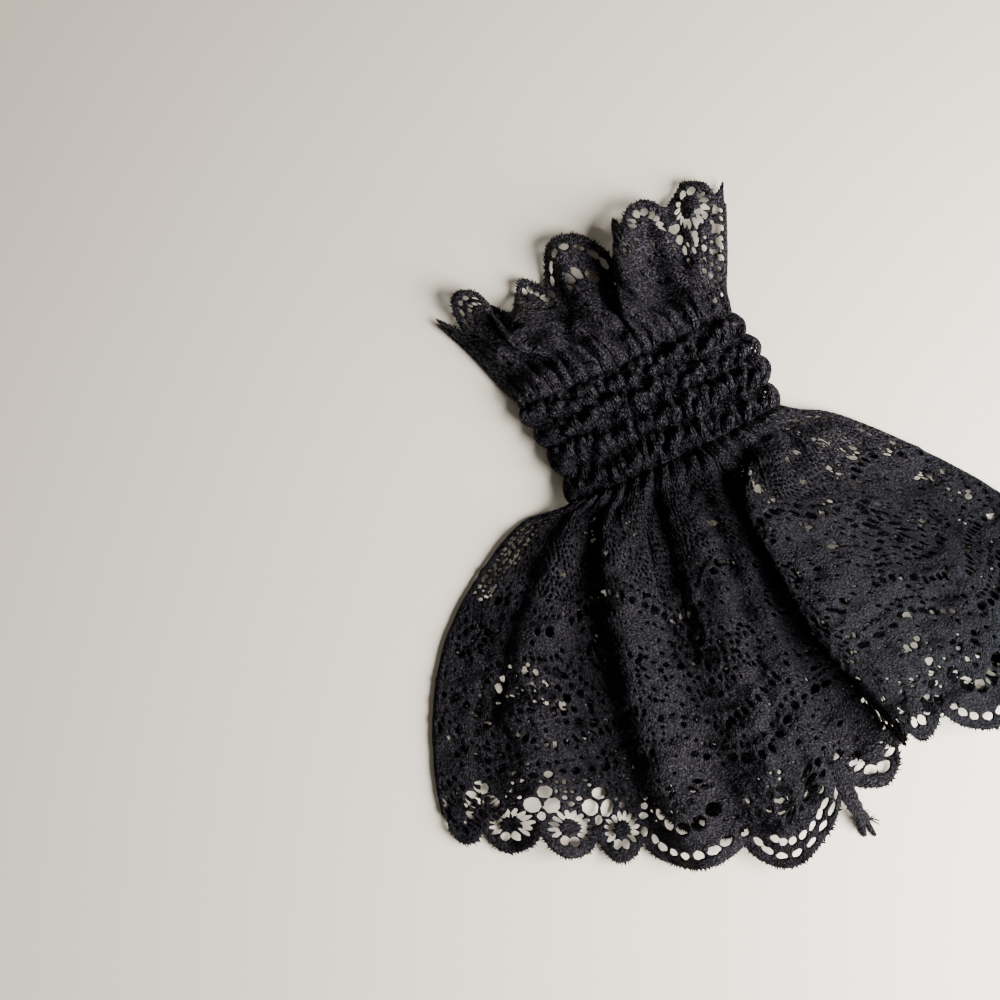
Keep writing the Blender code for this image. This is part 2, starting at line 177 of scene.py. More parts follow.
# The folds of the front layer. The first twelve are the solids' own, but the great fold
# starts a little further right here. The rest are the smaller creases between them.
FOLD_COLUMNS = ("name", "ruffle", "near", "middle", "far", "half_width", "height", "lean", "runs")
FOLDS = (
    ("left lobe", "long", -0.85, -0.66, -0.46, 20.0, 5.5, 0.0, 1.3),
    ("left pleat", "long", -0.44, -0.21, 0.04, 16.0, 8.0, 4.0, 1.3),
    ("pleat crease", "long", -0.26, -0.02, 0.10, 6.0, -4.5, 0.0, 0.6),
    ("middle lobe", "long", 0.02, 0.13, 0.26, 22.0, 6.5, 0.0, 1.3),
    ("great fold", "long", 0.80, 0.645, 0.70, 24.0, 12.5, 30.0, 1.3),
    ("right crease", "long", 0.56, 0.66, 0.66, 5.0, -3.0, 0.0, 0.5),
    ("right pleat", "long", 0.88, 0.90, 0.92, 13.0, 3.0, 0.0, 1.3),
    ("left roll", "short", -0.12, -0.50, -0.80, 13.0, 7.0, 5.0, 1.3),
    ("low roll", "short", -0.74, -0.86, -0.94, 9.0, 3.0, 0.0, 1.3),
    ("middle lobe", "short", 0.02, -0.08, -0.16, 12.0, 4.5, 3.0, 1.3),
    ("overlap", "short", 0.36, 0.38, 0.42, 14.0, 9.0, 13.0, 1.3),
    ("right lobe", "short", 0.80, 0.82, 0.84, 12.0, 5.0, 3.0, 1.3),
    ("left valley", "long", -0.60, -0.40, -0.12, 6.5, -4.5, 0.0, 1.2),
    ("second valley", "long", -0.22, -0.06, 0.08, 5.0, -3.4, 0.0, 0.6),
    ("side crease", "long", -0.93, -0.88, -0.80, 5.0, 1.6, 0.0, 0.9),
    ("far left crease", "long", -0.80, -0.76, -0.70, 4.0, -1.8, 0.0, 0.8),
    ("middle crease", "long", 0.18, 0.27, 0.34, 5.0, 1.9, 0.0, 1.2),
    ("middle trough", "long", 0.10, 0.18, 0.24, 4.5, -2.6, 0.0, 0.9),
    ("fold crease", "long", 0.74, 0.78, 0.80, 5.0, -2.6, 0.0, 0.8),
    ("far right crease", "long", 0.84, 0.86, 0.84, 5.0, -1.8, 0.0, 1.0),
    ("tongue crease", "short", 0.56, 0.52, 0.50, 4.0, -3.0, 0.0, 1.3),
    ("roll crease", "short", -0.36, -0.30, -0.26, 4.0, -2.6, 0.0, 1.2),
    ("top crease", "short", 0.12, 0.10, 0.06, 4.0, -2.2, 0.0, 1.2),
)

# The share of a ruffle's depth over which its folds open, how much flatter they are at the
# short ruffle's edge, and how far from the edge that starts
FOLD_OPENS = {"long": 0.28, "short": 0.4}
TOP_FLATTER = 0.45
TOP_FLAT_DEPTH = 14.0

# How the strip is shared out along each edge: where the pleats hide cloth,
# u runs on faster than the place across the cuff
ACROSS_SAMPLES = 361
SHARE_SMOOTHING = 8
SHARE_COLUMNS = ("across", "u")
HEM_SHARES = (
    (-1.0, 0.0),
    (-0.50, 32.0),
    (-0.30, 49.0),
    (-0.16, 66.0),
    (0.108, 99.0),
    (0.38, 132.0),
    (0.55, 149.0),
    (0.66, 182.0),
    (0.745, 200.0),
    (0.835, 233.0),
    (0.9, 262.0),
    (1.0, 290.0),
)
TOP_SHARES = (
    (-1.0, 0.0),
    (-0.96, 45.0),
    (-0.62, 81.0),
    (-0.585, 131.0),
    (-0.38, 149.0),
    (0.13, 183.0),
    (0.2, 192.0),
    (0.38, 246.0),
    (0.42, 250.0),
    (0.57, 267.0),
    (0.94, 284.0),
    (1.0, 290.0),
)

# Where the lace is bunched so that its openings close, and the short ruffle's corner:
# rows of u, v, and half the size along and down
CLOSED = (
    (66.0, 24.0, 15.0, 9.0),
    (96.0, 21.0, 14.0, 12.0),
    (118.0, 14.0, 13.0, 13.5),
    (132.0, 24.0, 22.0, 10.0),
    (166.0, 27.0, 21.0, 9.5),
    (216.0, 17.0, 27.0, 16.5),
    (255.5, 21.5, 10.0, 11.0),
    (290.0, 12.0, 3.2, 9.6),
    (139.0, 192.5, 8.0, 7.5),
    (166.0, 193.0, 18.0, 15.0),
    (190.0, 192.5, 10.0, 9.0),
)

# The seam's loose end. Its stubs are rows of shift to the side, spread, length and half
# thickness.
TAIL_COLUMNS = ("x", "y", "z", "half_width")
TAIL = (
    (106.5, -86.0, 5.9, 2.2),
    (109.3, -92.3, 5.7, 2.8),
    (111.8, -98.0, 5.0, 2.4),
    (114.8, -102.4, 3.6, 1.6),
    (117.2, -105.4, 1.6, 1.7),
    (119.0, -107.6, 0.4, 1.2),
)
TAIL_PLACES = 60
TAIL_UNSPLIT = 47
TAIL_STUBS = (
    (0.9, 0.36, 5.6, 1.15),
    (-0.8, 0.12, 7.6, 0.95),
    (-1.1, -0.65, 5.6, 0.22),
    (-1.1, -0.4, 6.0, 0.2),
)
TAIL_HAIRS = 70

# How the lace is cut: the depth of its borders, the size of the grid's cells in them and
# between them, the pieces side by side, how uneven its openings' edges are, and the solid
# strip along its two ends
BORDER = 32.0
FRONT_CELLS = (0.56, 0.78)
BACK_CELLS = (1.1, 1.3)
FRONT_PIECES = 4
BACK_PIECES = 2
UNEVEN = 0.11
SELVEDGE = 1.1

# The lace's thickness above its middle line, how far from an opening it is reached, its
# share below that line, and what a rim, a cord and a row of stitches add, with the rim's
# place off an opening and how wide both are
THREAD_HALF = 0.42
THREAD_ROUND = 0.75
UNDER_SHARE = 0.6
RIM = 0.2
RIM_MIDDLE = 0.8
RIM_WIDTH = 0.5
CORD = 0.42
CORD_WIDTH = 0.8
STITCH = 0.08
STITCH_PITCH = 1.9

# The spikes of the rough edge, the strands of elastic, two of them twisted a little apart,
# and the level over the table that no thread lies below
PICOT_STEP = 0.8
PICOT_ROOT = 0.3
ELASTIC_HALF = 0.2
ELASTIC_TWIST = 2.6
ELASTIC_STATIONS = 330
ELASTIC_APART = 0.17
TABLE_CLEAR = 0.03

# Each layer's middle line: how far it is over its underside or the table, its level at the
# two sides, and how much higher that is on the band
FRONT_OVER = 0.6
FRONT_LOW = 1.15
FRONT_LOW_BAND = 3.5
BACK_OVER = 0.52
BACK_LOW = 0.85
BACK_LOW_BAND = 3.3

# The rows of holes that hang in curves above the hem, as height, sag, step and half the
# holes' two sizes, the cords between them, as height and sag, the same row from the short
# ruffle's edge, and the share of their holes that are left out
FESTOONS = (
    (37.0, 4.0, 4.1, 1.35, 1.3),
    (41.2, 4.2, 2.2, 0.6, 0.6),
    (49.5, 5.0, 2.9, 0.8, 1.45),
    (88.0, 6.5, 4.3, 1.4, 1.4),
    (92.6, 6.8, 2.3, 0.65, 0.65),
)
FESTOON_CORDS = ((39.3, 4.1), (45.0, 4.6), (52.0, 5.0), (90.4, 6.6))
TOP_FESTOON = (41.0, 3.0, 2.2, 0.6, 0.6)
MISSING_SHARE = 0.12

# The net ground's first row, its waved end, and the pitch of its holes
NET_TOP = 47.0
NET_END = 118.0
NET_WAVE = 7.0
NET_PITCH = 2.25

# How much shorter the back layer is than the front, at each place across its two ends
SHORT_COLUMNS = ("across", "hem", "top")
BACK_SHORT = (
    (-1.0, 4.0, 4.0),
    (-0.72, 8.0, 8.0),
    (-0.58, 24.0, 9.0),
    (-0.24, 25.0, 12.0),
    (-0.08, 12.0, 13.0),
    (0.4, 11.0, 15.0),
    (0.62, 4.0, 19.0),
    (0.88, 3.0, 21.0),
    (1.0, 3.0, 21.0),
)


def column(table, columns, name):
    """One named column of a table, as an array."""
    place = columns.index(name)
    return np.array([row[place] for row in table])


def smooth_step(low, high, value):
    """0 below low, 1 above high, with a soft rise between them."""
    t = np.clip((value - low) / (high - low), 0.0, 1.0)
    return t * t * (3.0 - 2.0 * t)


def smooth_table(x, knots, values):
    """A smooth curve through a short table: cubic pieces with central slopes."""
    slopes = np.gradient(values, knots)
    place = np.clip(np.searchsorted(knots, x, side="right") - 1, 0, len(knots) - 2)
    width = knots[place + 1] - knots[place]
    t = np.clip((x - knots[place]) / width, 0.0, 1.0)
    start = (2 * t**3 - 3 * t**2 + 1) * values[place] + (t**3 - 2 * t**2 + t) * width * slopes[place]
    end = (3 * t**2 - 2 * t**3) * values[place + 1] + (t**3 - t**2) * width * slopes[place + 1]
    return start + end


def curve(table, columns, name, x):
    """The named column of a table as a smooth curve over its first column, at x."""
    return smooth_table(x, column(table, columns, columns[0]), column(table, columns, name))


def moving_mean(values, reach):
    """Each value as the mean of itself and its neighbours up to reach places away."""
    count = 2 * reach + 1
    return np.convolve(np.pad(values, reach, mode="edge"), np.ones(count) / count, mode="valid")


def ripples(u, v, size, seed, waves=9):
    """Soft unevenness about 0: the sum of a few seeded plane waves of about one length."""
    source = np.random.default_rng(seed)
    total = np.zeros(np.broadcast(u, v).shape)
    for _ in range(waves):
        turn = source.uniform(0.0, math.tau)
        length = size * source.uniform(0.7, 1.5)
        start = source.uniform(0.0, math.tau)
        total += np.cos(math.tau * (u * math.cos(turn) + v * math.sin(turn)) / length + start)
    return total / math.sqrt(waves)


def band_share(v, spread):
    """1 on the wrist band, falling to 0 over the ramp and the spread beyond it."""
    rise = smooth_step(BAND_TOP - BAND_RAMP - spread, BAND_TOP - spread, v)
    return rise * (1.0 - smooth_step(BAND_END + spread, BAND_END + spread + BAND_RAMP, v))


def puff_row(v):
    """0 on each row of elastic and 1 halfway to the next."""
    inside = (v >= BAND_TOP) & (v <= BAND_END)
    return np.where(inside, np.sin(math.pi * (v - BAND_TOP) / ELASTIC_PITCH) ** 2, 0.0)


def plan(s, v):
    """Table place of the flattened tube at s across it and v down it, before its folds."""
    place = []
    chord = []
    for axis in ("x", "y"):
        left, middle, right = [
            curve(SECTIONS, SECTION_COLUMNS, part + axis, v) for part in ("left_", "middle_", "right_")
        ]
        place.append(middle + 0.5 * (right - left) * s + (0.5 * (left + right) - middle) * s * s)
        chord.append(right - left)
    width = np.hypot(chord[0], chord[1])
    along = (chord[0] / width, chord[1] / width)
    reach = curve(HEM_REACH, REACH_COLUMNS, "reach", s) * smooth_step(*REACH_ROWS, v)
    moved = {"right": 0.0, "up": 0.0}
    top_pull = 1.0 - smooth_step(*TOP_MOVE_ROWS, v)
    hem_pull = smooth_step(*HEM_MOVE_ROWS, v)
    for table, pull in ((TOP_MOVES, top_pull), (HEM_MOVES, hem_pull)):
        for name in moved:
            moved[name] = moved[name] + curve(table, MOVE_COLUMNS, name, s) * pull
    side = SIDE_PUFF * puff_row(v) ** 0.4 * np.sign(s) * np.abs(s) ** 3
    x = place[0] + along[0] * side + along[1] * reach + moved["right"] - FOOTPRINT_MIDDLE[0]
    y = place[1] + along[1] * side - along[0] * reach + moved["up"] - FOOTPRINT_MIDDLE[1]
    return x, y, along, 0.5 * width


def fold_place(fold, v):
    """Where a fold's crest lies across the cuff, and how fully it stands, at v."""
    if fold["ruffle"] == "long":
        t = (v - BAND_END) / (STRIP_DEPTH - BAND_END)
    else:
        t = (BAND_TOP - v) / BAND_TOP
    crests = np.array([fold["near"], fold["middle"], fold["far"]])
    crest = smooth_table(t, np.array([0.0, 0.5, 1.0]), crests)
    fades = 1.0 - smooth_step(fold["runs"] - 0.25, fold["runs"], t)
    return crest, smooth_step(-0.02, FOLD_OPENS[fold["ruffle"]], t) * fades


def front_sheet(s, v):
    """The underside of the front layer: the plan, raised and shifted by each fold."""
    x, y, along, half = plan(s, v)
    z = WALL + GAP + (BACK_BAND - WALL) * band_share(v, 6.0)
    edge = 1.0 - np.abs(s) ** 8
    shift = np.zeros_like(z * s)
    lift = np.zeros_like(z * s)
    for row in FOLDS:
        fold = dict(zip(FOLD_COLUMNS, row))
        crest, stands = fold_place(fold, v)
        off = np.clip((s - crest) * half / fold["half_width"], -1.0, 1.0)
        shape = np.cos(0.5 * math.pi * off) ** 2 * stands * edge
        lift = lift + fold["height"] * shape
        shift = shift - fold["lean"] * shape
    lift = np.maximum(lift, 0.0) * (1.0 - TOP_FLATTER * smooth_step(TOP_FLAT_DEPTH, 0.0, v))
    return np.stack([x + along[0] * shift, y + along[1] * shift, z + lift], axis=-1)


def back_sheet(s, v):
    """The middle line of the back layer, flat on the table."""
    x, y = plan(s, v)[:2]
    return np.stack([x, y, np.zeros_like(x)], axis=-1)


def across_from_strip(sheet, length, u, v):
    """The s at each u and v: even along each row's own length, but drawn towards the
    tables of shares at the two edges of the front layer. The second result is the share
    of the cloth that shows there, the rest being tucked into the pleats."""
    samples = np.linspace(-1.0, 1.0, ACROSS_SAMPLES)
    lines = sheet(samples[None, :], v[:, None])
    steps = np.linalg.norm(np.diff(lines, axis=1), axis=2)
    run = np.concatenate([np.zeros((len(v), 1)), np.cumsum(steps, axis=1)], axis=1)
    run = run / run[:, -1:]
    even = np.stack([np.interp(u / length, row, samples) for row in run])
    if length != FRONT_LENGTH:
        return even, np.ones_like(even)
    drawn = even
    for table, pull in (
        (HEM_SHARES, smooth_step(BAND_END + 10.0, 200.0, v)),
        (TOP_SHARES, smooth_step(BAND_TOP, 6.0, v)),
    ):
        across = column(table, SHARE_COLUMNS, "across")
        wanted = np.interp(u, column(table, SHARE_COLUMNS, "u"), across)
        wanted = moving_mean(wanted, SHARE_SMOOTHING)
        wanted[0] = -1.0
        wanted[-1] = 1.0
        drawn = drawn + pull[:, None] * (wanted[None, :] - even)
    shown = np.gradient(drawn, axis=1) / np.gradient(even, axis=1)
    return drawn, np.clip(shown, 0.0, 1.0)


class Canvas:
    """The lace drawn flat: on a grid over the strip, how far each place lies inside the
    thread, in mm. It is below 0 in a hole and outside the edge."""

    def __init__(self, length, cells, seed):
        border_cell, middle_cell = cells
        middle = STRIP_DEPTH - 2.0 * BORDER
        self.length = length
        self.u = np.linspace(0.0, length, int(round(length / border_cell)) + 1)
        borders = np.linspace(0.0, BORDER, int(round(BORDER / border_cell)) + 1)
        between = np.linspace(0.0, middle, int(round(middle / middle_cell)) + 1)
        self.v = np.concatenate([borders[:-1], BORDER + between[:-1], STRIP_DEPTH - borders[::-1]])
        self.depth = np.full((len(self.v), len(self.u)), -SCALLOP_ROOT)
        self.cord = np.zeros_like(self.depth)
        self.source = np.random.default_rng(seed)

    def unsettle(self, u, v, half_u, half_v, turn):
        """An opening moved, sized and turned a little, so that no two are the same. The cloth
        between the borders is less even than they are."""
        free = float(smooth_step(22.0, 40.0, min(v, STRIP_DEPTH - v)))
        drift_u = 0.9 * math.sin(0.16 * u + 0.11 * v) + 0.7 * math.sin(0.29 * v - 0.13 * u + 1.0)
        drift_v = 0.9 * math.sin(0.14 * u - 0.12 * v + 2.0) + 0.7 * math.sin(0.31 * u + 0.17 * v)
        loose = 0.1 + 0.3 * free
        u += free * drift_u + self.source.uniform(-loose, loose)
        v += free * drift_v + self.source.uniform(-loose, loose)
        low = 0.92 - 0.3 * free
        high = 1.08 + 0.14 * free
        half_u *= self.source.uniform(low, high)
        half_v *= self.source.uniform(low, high)
        return u, v, half_u, half_v, turn + free * self.source.uniform(-0.5, 0.5)

    def window(self, u, v, half_u, half_v, turn, beyond):
        """The part of the grid that holds an ellipse and what lies up to beyond from it, and
        how far outside the ellipse each place of that part is."""
        reach = max(half_u, half_v) + beyond
        low_u, high_u = np.searchsorted(self.u, (u - reach, u + reach))
        low_v, high_v = np.searchsorted(self.v, (v - reach, v + reach))
        along = self.u[None, low_u:high_u] - u
        down = self.v[low_v:high_v, None] - v
        across = down * math.cos(turn) - along * math.sin(turn)
        along = along * math.cos(turn) + down * math.sin(turn)
        away = (np.hypot(along / half_u, across / half_v) - 1.0) * min(half_u, half_v)
        return (slice(low_v, high_v), slice(low_u, high_u)), away

    def ridge(self, u, v, half_u, half_v, turn, width):
        """A raised cord along an ellipse."""
        part, away = self.window(u, v, half_u, half_v, turn, 2.0 * width)
        self.cord[part] = np.maximum(self.cord[part], np.exp(-((away / width) ** 2)))

    def oval(self, u, v, half_u, half_v, turn, is_hole):
        """One ellipse, as a hole or as thread."""
        part, away = self.window(u, v, half_u, half_v, turn, 2.6)
        if is_hole:
            self.depth[part] = np.minimum(self.depth[part], away)
        else:
            self.depth[part] = np.maximum(self.depth[part], -away)

    def hole(self, u, v, half_u, half_v, turn=0.0):
        """An opening, a little uneven."""
        self.oval(*self.unsettle(u, v, half_u, half_v, turn), True)

    def at(self, u, v):
        """The depth at the grid place nearest u and v."""
        i = min(int(np.searchsorted(self.u, u)), len(self.u) - 1)
        j = min(int(np.searchsorted(self.v, v)), len(self.v) - 1)
        return float(self.depth[j, i])


def repeat_bases(length, is_hem):
    """Where each repeat of a border begins, from before the strip's start to past its end."""
    base = REPEAT_START if is_hem else TOP_START
    first = math.floor(-base / REPEAT)
    last = math.ceil((length - base) / REPEAT)
    return [base + k * REPEAT for k in range(first, last + 1)]


class Edge:
    """Draws on a canvas from one edge of the strip: along it, and inward from it."""

    def __init__(self, canvas, is_hem):
        self.canvas = canvas
        self.is_hem = is_hem
        self.wheel_middle, self.wheel_deep = WHEEL_SHAPE[is_hem]
        self.fan_open = 1.0 if is_hem else TOP_OPEN
        self.bases = repeat_bases(canvas.length, is_hem)

    def ellipse(self, along, inward, half_along, half_inward, turn):
        """An ellipse as the canvas takes it. Without half_inward it is round."""
        v = STRIP_DEPTH - inward if self.is_hem else inward
        return along, v, half_along, half_inward or half_along, -turn if self.is_hem else turn

    def hole(self, along, inward, half_along, half_inward=None, turn=0.0):
        """An opening."""
        self.canvas.hole(*self.ellipse(along, inward, half_along, half_inward, turn))

    def pad(self, along, inward, half_along, half_inward=None, turn=0.0):
        """Solid thread."""
        self.canvas.oval(*self.ellipse(along, inward, half_along, half_inward, turn), False)

    def ridge(self, along, inward, half_along, half_inward=None, turn=0.0, width=0.6):
        """A raised cord."""
        self.canvas.ridge(*self.ellipse(along, inward, half_along, half_inward, turn), width)

    def ring(self, along, inward, radius, angles, half_out, half_side):
        """Holes round a middle, each with its long way outward. An angle of 0 points to the edge."""
        for angle in angles:
            across = along + radius * math.sin(angle)
            self.hole(across, inward - radius * math.cos(angle), half_side, half_out, angle)


def degrees(*angles):
    """Angles in degrees, as radians."""
    return [math.radians(angle) for angle in angles]


def draw_wheel(edge, along):
    """A wheel: a solid hub, thin spokes, two round openings towards the edge, and four small
    ones beyond it."""
    middle = edge.wheel_middle
    long = 1.0 if edge.is_hem else 0.8
    edge.ring(along, middle, 4.95, degrees(*(54.0 + k * 22.9 for k in range(12))), 1.9 * long, 0.76)
    edge.ring(along, middle, 5.0, degrees(-18.0, 18.0), 1.75 * long, 1.35)
    edge.ridge(along, middle, 2.6)
    for offset, beyond, size in ((0.0, 8.8, 1.05), (-2.1, 11.2, 0.8), (2.1, 11.2, 0.8), (0.0, 13.8, 0.7)):
        edge.hole(along + offset, middle + beyond, size)


def draw_between_wheels(edge, along):
    """The largest gaps: two ovals side by side, a round one above and a small one below.
    At the short ruffle's edge it is a ladder of wide ones."""
    if not edge.is_hem:
        for k in range(4):
            edge.hole(along + 0.5 * k, 14.5 + 3.3 * k, 2.3 - 0.2 * k, 1.15)
        return
    edge.hole(along - 2.75, 21.4, 2.35, 3.05, 0.18)
    edge.hole(along + 2.75, 21.4, 2.35, 3.05, -0.18)
    edge.hole(along, 26.6, 2.25, 2.35)
    edge.hole(along, 17.0, 1.15, 1.7)


def outline_row(edge, along, inset, count, half_along, half_inward, spread):
    """A row of openings that follows a fan's outline, inset from it."""
    wide = FAN_HALF - inset
    deep = FAN_DEEP - inset
    for k in range(count):
        t = (k - 0.5 * (count - 1)) * spread / (count - 1) * 2.0
        slope = math.atan2(deep * math.sin(t), wide * math.cos(t))
        inward = FAN_DEEP - deep * math.cos(t)
        edge.hole(along + wide * math.sin(t), inward, half_along, half_inward, slope)


def draw_round_fan(edge, along):
    """A large scallop with oblong openings along its rim and an arc of round gaps inside."""
    outline_row(edge, along, 4.3 / edge.fan_open**1.5, 7, 1.75, 1.2 * edge.fan_open, 1.18)
    for k in range(5):
        turn = (k - 2.0) * math.radians(28.6)
        inward = FAN_ARC_MIDDLE - FAN_ARC * math.cos(turn)
        edge.hole(along + FAN_ARC * math.sin(turn), inward, 2.15)
    for offset, inward in ((0.0, 19.4), (-2.3, 21.6), (2.3, 21.6)):
        edge.hole(along + offset, inward, 0.85)
    edge.ring(along, 28.5, 4.6, degrees(-75, -45, 45, 75), 1.5, 0.7)


def draw_flower_fan(edge, along):
    """A large scallop with two rows of small openings round half a flower."""
    outline_row(edge, along, 3.7 / edge.fan_open, 8, 1.5, 0.95 * edge.fan_open, 1.2)
    outline_row(edge, along, 7.6, 7, 1.25, 1.05, 1.02)
    edge.ring(along, 19.0, 5.0, degrees(-125, -97, -69, -41, 41, 69, 97, 125), 2.3, 1.0)
    edge.ring(along, 19.0, 9.2, degrees(-110, -85, -60, 60, 85, 110), 0.9, 0.9)


def draw_border(edge):
    """Wheels and fans along one edge."""
    for base in edge.bases:
        for k in range(WHEELS):
            draw_wheel(edge, base + (k + 0.5) * WHEEL_WIDTH)
        for k in range(1, WHEELS):
            draw_between_wheels(edge, base + k * WHEEL_WIDTH)
        draw_round_fan(edge, base + WHEELS_WIDTH + 0.5 * FAN_WIDTH)
        draw_flower_fan(edge, base + WHEELS_WIDTH + 1.5 * FAN_WIDTH)
        for notch in (base, base + WHEELS_WIDTH, base + WHEELS_WIDTH + FAN_WIDTH):
            edge.hole(notch, 12.2, 1.3, 1.5)
        for notch in (base, base + WHEELS_WIDTH):
            for k in range(3):
                edge.hole(notch + 0.4 * k, 17.6 + 3.4 * k, 1.9 - 0.25 * k, 1.15)


def draw_scallops(edge):
    """The solid rims of all the scallops along one edge."""
    for base in edge.bases:
        for k in range(WHEELS):
            edge.pad(base + (k + 0.5) * WHEEL_WIDTH, edge.wheel_middle, WHEEL_HALF, edge.wheel_deep)
            if not edge.is_hem and k:
                edge.pad(base + k * WHEEL_WIDTH, 11.5, 4.5, 5.0)
        for k in range(FANS):
            edge.pad(base + WHEELS_WIDTH + (k + 0.5) * FAN_WIDTH, FAN_DEEP, FAN_HALF, FAN_DEEP)


def festoon(along, height, sag):
    """A line of hanging curves: height inward, dipping towards the edge over the wheels."""
    return height - sag * np.cos(math.tau * (along - REPEAT_START - WHEELS_MIDDLE) / HALF_REPEAT)


def hole_row(edge, height, sag, step, half_along, half_inward):
    """Holes along a festoon, turned with it, but for one here and there."""
    for k in range(int(edge.canvas.length / step) + 1):
        if edge.canvas.source.uniform() < MISSING_SHARE:
            continue
        along = k * step
        rise = festoon(along + 0.5, height, sag) - festoon(along - 0.5, height, sag)
        edge.hole(along, festoon(along, height, sag), half_along, half_inward, math.atan(rise))


def draw_blossom(edge, along, inward):
    """A round flower: a hub, eight petal openings and two rings of small holes."""
    edge.ridge(along, inward, 2.4)
    edge.ridge(along, inward, 8.9)
    edge.ridge(along, inward, 16.6, width=0.8)
    edge.ring(along, inward, 5.6, [k * math.tau / 8.0 for k in range(8)], 2.3, 1.15)
    edge.ring(along, inward, 10.6, [(k + 0.5) * math.tau / 16.0 for k in range(16)], 0.95, 1.1)
    edge.ring(along, inward, 14.6, [k * math.tau / 24.0 for k in range(24)], 0.7, 0.75)


def draw_palmette(edge, along, inward):
    """Half a wheel of ladders: rays of openings that widen outward, under two round arcs."""
    for ray in range(9):
        angle = math.radians((ray - 4) * 22.0)
        for step, half_side in enumerate((0.75, 0.95, 1.2)):
            edge.ring(along, inward, 5.0 + 3.3 * step, (math.pi + angle,), 1.2, half_side)
    inner_arc = [math.pi + math.radians((k - 7) * 13.5) for k in range(15)]
    outer_arc = [math.pi + math.radians((k - 12) * 7.6) for k in range(25)]
    edge.ring(along, inward, 16.0, inner_arc, 1.35, 1.35)
    edge.ring(along, inward, 20.2, outer_arc, 0.7, 0.75)


def draw_leaf(edge, along, inward, length, turn):
    """A leaf drawn by a line of small holes round it and a slit vein."""
    edge.ridge(along, inward, 0.25 * length, 0.5 * length, -turn)
    for k in range(16):
        t = math.tau * k / 16.0
        a = 0.34 * length * math.sin(t)
        b = 0.62 * length * math.cos(t)
        across = along + a * math.cos(turn) + b * math.sin(turn)
        edge.hole(across, inward - a * math.sin(turn) + b * math.cos(turn), 0.75)
    for k in range(3):
        b = (k - 1) * 0.3 * length
        edge.hole(along + b * math.sin(turn), inward + b * math.cos(turn), 0.5, 1.2, -turn)


def draw_net(canvas):
    """Even net ground: small round holes in staggered rows across the middle of the strip,
    down to a waved end."""
    rise = NET_PITCH * math.sqrt(3.0) / 2.0
    places = np.arange(int(canvas.length / NET_PITCH) + 1) * NET_PITCH
    limit = NET_END + NET_WAVE * np.cos(math.tau * (places - FIRST_WHEELS) / HALF_REPEAT)
    row = 0
    v = NET_TOP
    while v < limit.max():
        for k in np.flatnonzero(v < limit):
            canvas.hole((k + 0.5 * (row % 2)) * NET_PITCH, v, 0.56, 0.58)
        v += rise
        row += 1


def draw_sprig(edge, along, inward):
    """A solid stem with paired leaves, laid over the net."""
    for k in range(13):
        across = along + 1.2 * math.sin(0.5 * k)
        edge.pad(across, inward + 2.0 * k, 0.8, 1.5)
        edge.ridge(across, inward + 2.0 * k, 0.4, 1.1, width=0.5)
    for k in range(4):
        for side in (-1, 1):
            reach = 4.2 - 0.5 * k
            edge.pad(along + side * (reach + 0.6), inward + 5.0 + 5.2 * k, reach, 1.25, side * -0.7)


def draw_body(edge):
    """The dense cloth between border and net: festoons, blossoms, palmettes and leaves."""
    for row in FESTOONS:
        hole_row(edge, *row)
    for base in edge.bases:
        draw_blossom(edge, base + FANS_MIDDLE, 69.0)
        draw_palmette(edge, base + WHEELS_MIDDLE, 54.0)
        for side in (-1, 1):
            draw_leaf(edge, base + FANS_MIDDLE + side * 21.0, 66.0, 13.0, side * 0.42)
            draw_leaf(edge, base + WHEELS_MIDDLE + side * 23.5, 74.0, 10.0, side * -0.35)


def scatter_small_holes(canvas, seed):
    """Uneven pinholes in what is still solid, off every other opening."""
    source = np.random.default_rng(seed)
    step = 3.0
    for row in range(int(STRIP_DEPTH / step)):
        for col in range(int(canvas.length / step)):
            u = (col + source.uniform(0.15, 0.85)) * step
            v = (row + source.uniform(0.15, 0.85)) * step
            size = source.uniform(0.28, 0.72)
            near_edge = min(v, STRIP_DEPTH - v) < 14.0
            if source.uniform() < 0.5 and canvas.at(u, v) > size + 0.5 and not near_edge:
                canvas.hole(u, v, size, size * source.uniform(0.85, 1.5), source.uniform(0, 3.1))


